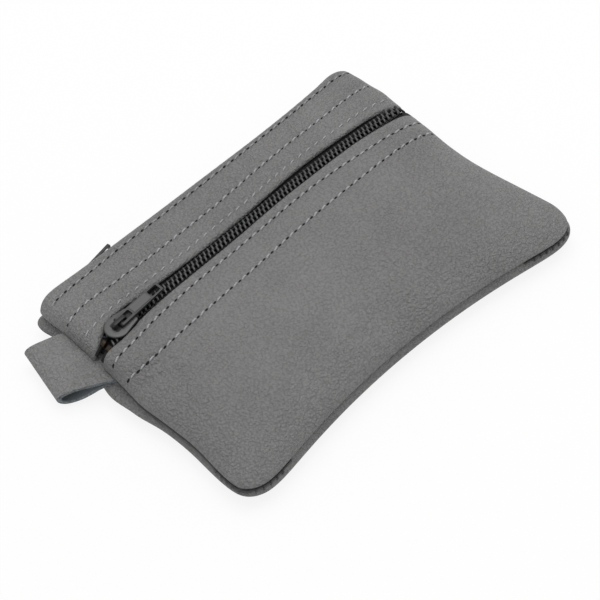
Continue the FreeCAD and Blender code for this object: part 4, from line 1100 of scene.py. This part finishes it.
class KeyCaseLeather(bpy.types.PropertyGroup):
    """The leather's colours, its grain and its mesh"""

    colour: colour_setting("Leather colour", "Colour of the dyed leather", 0.194, 0.191, 0.190)
    edge_colour: colour_setting("Edge colour", "Colour of the raw cut edge", 0.21, 0.235, 0.25)
    grain: size_setting("Grain", "Width of one pebble of the grain in millimetres", 0.72, 0.2, 3.0)
    depth: size_setting("Grain depth", "Depth of the grain's relief in millimetres", 0.52, 0, 0.8)
    columns: IntProperty(name="Columns", description="Columns of a panel's mesh", default=300, min=40, max=500)


class KeyCaseThread(bpy.types.PropertyGroup):
    """The sewing thread and its stitches"""

    colour: colour_setting("Thread colour", "Colour of the sewing thread", 0.40, 0.40, 0.42)
    pitch: size_setting("Stitch", "From one needle hole to the next in millimetres", 3.1, 1, 8)
    thickness: size_setting("Thickness", "Thickness of the thread in millimetres", 0.46, 0.1, 1.5)


class KeyCaseZip(bpy.types.PropertyGroup):
    """Colours of both zips"""

    coil_colour: colour_setting("Coil colour", "Colour of the coils", 0.058, 0.058, 0.060)
    tape_colour: colour_setting("Tape colour", "Colour of the woven tapes", 0.0075, 0.0075, 0.008)
    slider_colour: colour_setting("Slider colour", "Colour of the slider's enamel", 0.008, 0.008, 0.009)
    # Painted reflection: the lighter colour of the slider's upper faces and, at 0.62, of the tab, standing in for light
    # that black enamel reflects.
    painted_reflection_colour: colour_setting("Face colour", "Colour of the slider's rubbed upper faces", 0.080, 0.080, 0.082)


class KeyCaseStage(bpy.types.PropertyGroup):
    """Strengths of the light"""

    sky: size_setting("Sky", "Strength of the even light from all round", 0.54, 0, 5)
    lamp: size_setting("Lamp", "Power of the large soft lamp in watts", 4.9, 0, 100)


# Operators


def added(scene, name, data, matrix=None):
    """A new object of the scene, at the origin or at a matrix."""
    thing = bpy.data.objects.new(name, data)
    scene.collection.objects.link(thing)
    if matrix:
        thing.matrix_world = matrix
    return thing


class KEYCASE_OT_stage(bpy.types.Operator):
    """Sets up the pale floor, the soft light and the camera"""

    bl_idname = "key_case.stage"
    bl_label = "Stage"

    def execute(self, context):
        scene = context.scene
        settings = scene.key_case_stage
        scene.view_settings.view_transform = "Standard"
        sky = Finish("Soft sky", bpy.data.worlds)
        even = sky.node("Background", {}, {"Color": WHITE, "Strength": settings.sky})
        white = sky.node("Background", {}, {"Color": WHITE})
        sky.ends_in(sky.node("MixShader", {}, {0: sky.seen(), 1: even, 2: white}), "World")
        scene.world = sky.block

        floor = bpy.data.meshes.new("Floor")
        side, level = 3.0, -0.0004
        floor.from_pydata([(x * side, y * side, level) for x, y in FLOOR_CORNERS], [], [(0, 1, 2, 3)])
        ground = added(scene, "Floor", floor)
        finish = material("floor_white")
        diffuse = finish.node("BsdfDiffuse", {}, {"Color": (0.92, 0.92, 0.92, 1)})
        glow = finish.node("Emission", {}, {"Color": WHITE, "Strength": 1.0})
        finish.ends_in(finish.node("MixShader", {}, {0: finish.seen() * 0.86, 1: diffuse, 2: glow}))
        floor.materials.append(finish.block)

        lamp = bpy.data.lights.new("Soft lamp", "AREA")
        lamp.shape, lamp.size, lamp.size_y, lamp.energy = "RECTANGLE", 0.9, 0.7, settings.lamp
        spot = Vector((0.14, 0.08, 0.85))
        added(scene, "Soft lamp", lamp, Matrix.Translation(spot) @ spot.to_track_quat("Z", "Y").to_matrix().to_4x4())

        view = bpy.data.cameras.new("Camera")
        view.lens, view.sensor_width = 108.17, 36.0
        view.shift_x, view.shift_y = -2.99 / 600, -21.1 / 600
        view.clip_start, view.clip_end = 0.01, 20.0
        azimuth, elevation, roll = (math.radians(angle) for angle in (-36.64, 53.40, -8.29))
        turns = (azimuth, "Z"), (math.pi / 2 - elevation, "X"), (roll, "Z")
        first, second, third = (Matrix.Rotation(angle, 4, axis) for angle, axis in turns)
        distance = Matrix.Translation((0.0, 0.0, 0.5))
        scene.camera = added(scene, "Camera", view, first @ second @ third @ distance)
        return {"FINISHED"}


class KEYCASE_OT_panels(bpy.types.Operator):
    """Makes the two front panels and the back from grained leather"""

    bl_idname = "key_case.panels"
    bl_label = "Leather panels"

    def execute(self, context):
        columns = context.scene.key_case_leather.columns
        for node, rows, finish, held, flat in (
            ("front_lower_panel", 210, "leather", "stretched", (0.130, 0.068)),
            ("front_upper_panel", 90, "leather", "stretched", (0.128, 0.022)),
            ("back_panel", 130, "back_leather", "laid", (0.130, 0.094)),
        ):
            piece = band_panel(node, rows, columns, finish)
        return {"FINISHED"}


class KEYCASE_OT_loop(bpy.types.Operator):
    """Makes the folded loop in the left seam, with its raw edges"""

    bl_idname = "key_case.loop"
    bl_label = "Side loop"

    def execute(self, context):
        route = [
            (3.2, 0.55), (0.4, 0.56), (-2.6, 0.72), (-6.2, 0.62), (-9.4, 0.2), (-11.4, -0.7), (-12.1, -1.9),
            (-11.6, -3.3), (-10.0, -4.15), (-7.6, -3.9), (-5.2, -2.7), (-2.8, -1.2), (-0.6, -0.62), (3.2, -0.55),
        ]
        path = smooth_path(route, 110)
        root, fold = np.array([[-61.0, 8.6], [-59.4, 29.8]]), np.array([[-73.6, 16.2], [-70.6, 33.9]])

        def at(profile, w):
            """Point of the loop: x and y run straight from the root's line to the fold's line."""
            share = (-profile[:, 0] / 12.1)[:, None]
            across = (w + 1) / 2
            start = root[0] + (root[1] - root[0]) * across
            end = fold[0] + (fold[1] - fold[0]) * across
            plan = start + (end - start) * share
            outside = np.clip(share[:, 0], 0, 1)
            soft = 0.16 * np.sin(6.0 * outside + 1.9 * w) * outside + 0.35 * w * outside
            return xyz(plan[:, 0], plan[:, 1], SEAM_Z + profile[:, 1] + soft)

        widths = np.concatenate([[-1.0, -0.99], np.linspace(-0.95, 0.95, 22), [0.99, 1.0]])
        rings, nodes = strip_rings(path, widths, at), ("side_loop",)
        faces = closed_band(rings)
        piece = new_piece("side_loop_leather", "pouch", "leather", "loop_leather", rings, faces, nodes, 50.0)
        piece.data.materials.append(finish_of("raw_edge"))
        piece.data.materials.append(finish_of("suede"))
        self.paint_edges(piece.data)
        return {"FINISHED"}

    def paint_edges(self, mesh):
        """The side faces get the raw edge, and the faces that look into the bore get the suede."""
        normals, centres = np.empty((2, len(mesh.polygons) * 3))
        mesh.polygons.foreach_get("normal", normals)
        mesh.polygons.foreach_get("center", centres)
        normals, centres = normals.reshape(-1, 3), centres.reshape(-1, 3) / MM
        towards = np.array([-69.0, 0.0, SEAM_Z - 1.7]) - centres
        inside = (normals * towards * (1, 0, 1)).sum(1) > 0
        side = np.abs(normals @ (0.3, 0.95, 0.0)) > 0.8
        mesh.polygons.foreach_set("material_index", np.where(side, 1, np.where(inside, 2, 0)).astype(np.int32))
        mesh.update()


class KEYCASE_OT_linings(bpy.types.Operator):
    """Makes the lining of the back and the lining behind the front pocket"""

    bl_idname = "key_case.linings"
    bl_label = "Linings"

    def execute(self, context):
        p = panel_shares(70)[None, :]
        v = np.linspace(0, 1, 60)[:, None]

        def cloth(name, height, end, margin, facing, flat):
            def sheet(extra):
                start, away = bottom_edge(p), margin + extra
                y = start + (end(p) - start) * v
                z = SEAM_Z + facing * (height(y) - extra) * pillow(p, y)
                return xyz(p * (half_length(p, y) - away), y + away * (1 - v), z)

            rings = np.concatenate([sheet(0.0), sheet(LINING)[::-1]])
            piece = new_piece(name + "_cloth", "pouch", "lining", "lining", rings, closed_band(rings), (name,))

        cloth("back_lining", lambda y: SEAM_Z - 1.3, lambda p: top_edge(p) - 9.4, 2.5, -1, (0.124, 0.082))
        cloth("pocket_lining", lambda y: 2.2 + 1.1 * ease((y - 23.0) / 12.4), lambda p: 35.4, 3.1, 1, (0.122, 0.083))
        return {"FINISHED"}


class KEYCASE_OT_threads(bpy.types.Operator):
    """Sews the stitch lines on the front, along the back's top edge and in the side seams"""

    bl_idname = "key_case.threads"
    bl_label = "Threads"

    def execute(self, context):
        seam("body", front_line("body"), -59.8, 57.0, hole=HOLE_LONG)
        seam("lip_lower", front_line("lip_lower"), -59.8, 58.0, hole=HOLE_LONG)
        seam("lip_upper", front_line("lip_upper"), -59.4, 57.2, weight=0.74)
        seam("band", front_line("band"), -59.8, 56.6, hole=HOLE_SHORT)
        # The top row's thread is darkened as painted shade.
        seam("top", front_line("top"), -59.8, 56.0, hole=HOLE_LONG, finish="thread_painted_shade")
        seam("back_top", back_line, -58.5, 54.0, up=-1.0)
        inset, p = 0.64, panel_shares(160)
        side = bottom_edge(-1.0) + inset
        side = side + (top_edge(-1.0) - 1.0 - side) * np.linspace(1, 0, 90)
        side = xyz(inset - half_length(-1.0, side), side, SEAM_Z)
        y = bottom_edge(p) + inset
        low = xyz(p * (half_length(p, y) - inset), y, SEAM_Z)
        left = np.concatenate([side, low[(low[:, 0] < -44) & (p > -0.999)]])
        right = low[(low[:, 0] > 42) & (p < 0.97)]
        # The side seams get a dark tube of painted shadow along their groove, with short threads across it where the
        # seam opens.
        painted_seam_shadow_and_ties("left", left, lambda at: ((at[:, 1] < -30) & (at[:, 0] < -46)) | (np.abs(at[:, 1] - 36) < 2.6))
        painted_seam_shadow_and_ties("right", right, lambda at: (at[:, 0] > 44) & (at[:, 1] < -42.5))
        return {"FINISHED"}


class KEYCASE_OT_zips(bpy.types.Operator):
    """Makes the woven tapes and the wound coils of both zips, and their end stops"""

    bl_idname = "key_case.zips"
    bl_label = "Zips"

    def execute(self, context):
        for name, tape in (("pocket", pocket_tape), ("main", main_tape)):
            for side, end in zip((1, -1), ZIPS[name][4]):
                tape(side, "%s_zip_tape_%s" % (name, end))
                coil_half(name, side, "%s_zip_coil_%s" % (name, end))
            stop_pieces(name, name + "_zip_top_stops")
        return {"FINISHED"}


class KEYCASE_OT_sliders(bpy.types.Operator):
    """Makes both sliders and their pullers"""

    bl_idname = "key_case.sliders"
    bl_label = "Sliders and pullers"

    def execute(self, context):
        for name, tilt_deg in (("pocket", 0.0), ("main", 11.0)):
            slider_pieces(name)
            puller_pieces(name, tilt_deg)
        return {"FINISHED"}


class KEYCASE_OT_keeper(bpy.types.Operator):
    """Makes the strap inside and the split ring that it holds"""

    bl_idname = "key_case.keeper"
    bl_label = "Strap and ring"

    def execute(self, context):
        pivot = (-38.6, -9.0, 4.725)
        route = [
            (-18.0, 1.42), (-10.0, 0.98), (-4.2, 0.62), (-1.6, 1.75), (-0.4, 2.02),
            (0.9, 1.98), (2.5, 1.2), (2.86, 0.0), (2.5, -1.2), (0.9, -1.98),
            (-0.4, -2.02), (-1.6, -1.75), (-4.2, -0.5), (-10.0, -0.14), (-18.0, 0.3),
        ]
        path = smooth_path(route, 110)

        def at(profile, w):
            return xyz(pivot[0] + profile[:, 0], pivot[1] + w, pivot[2] + profile[:, 1])

        rings = strip_rings(path, np.linspace(-4.5, 4.5, 10), at)
        faces, nodes = closed_band(rings), ("key_strap",)
        new_piece("key_strap_leather", "pouch", "leather", "loop_leather", rings, faces, nodes)

        ramp, radius = 24.0, 11.4
        angle = np.radians(np.linspace(0, 2 * (360 - 1.5 * ramp), 220))
        level = 1.15 * ease((angle - math.radians(360 - 2 * ramp)) / math.radians(ramp))
        away = xyz(np.cos(angle + math.radians(2 * ramp)), np.sin(angle + math.radians(2 * ramp)), 0.0)
        path = np.add((radius, 0.0, -0.575), pivot) + radius * away + xyz(0, 0, level)
        points, faces = bar(path, away, UP, 0.93, 0.51, 0.5)
        new_piece("split_ring_wire", "ring", "ring_metal", "steel", points, faces, ("key_ring",), 60.0)
        return {"FINISHED"}


OPERATORS = (
    KEYCASE_OT_stage,
    KEYCASE_OT_panels,
    KEYCASE_OT_loop,
    KEYCASE_OT_linings,
    KEYCASE_OT_threads,
    KEYCASE_OT_zips,
    KEYCASE_OT_sliders,
    KEYCASE_OT_keeper,
)


class KEYCASE_PT_sidebar(bpy.types.Panel):
    """Lists the key case's settings and pieces"""

    bl_idname = "KEYCASE_PT_sidebar"
    bl_label = "Key case"
    bl_space_type = "VIEW_3D"
    bl_region_type = "UI"
    bl_category = "Key case"

    def draw(self, context):
        for group in GROUPS:
            box = self.layout.box()
            settings = getattr(context.scene, group)
            for name in settings.bl_rna.properties.keys():
                if name not in ("rna_type", "name"):
                    box.prop(settings, name)
        for operator in OPERATORS:
            self.layout.operator(operator.bl_idname)


GROUPS = {
    "key_case_leather": KeyCaseLeather,
    "key_case_thread": KeyCaseThread,
    "key_case_zip": KeyCaseZip,
    "key_case_stage": KeyCaseStage,
}


def register():
    for name, group in GROUPS.items():
        bpy.utils.register_class(group)
        setattr(bpy.types.Scene, name, PointerProperty(type=group))
    for cls in OPERATORS + (KEYCASE_PT_sidebar,):
        bpy.utils.register_class(cls)


def unregister():
    for cls in (KEYCASE_PT_sidebar,) + OPERATORS[::-1]:
        bpy.utils.unregister_class(cls)
    for name, group in GROUPS.items():
        delattr(bpy.types.Scene, name)
        bpy.utils.unregister_class(group)


def main():
    """Registers the add-on and builds every piece."""
    register()
    for operator in OPERATORS:
        group, name = operator.bl_idname.split(".")
        getattr(getattr(bpy.ops, group), name)()


if __name__ == "__main__":
    main()
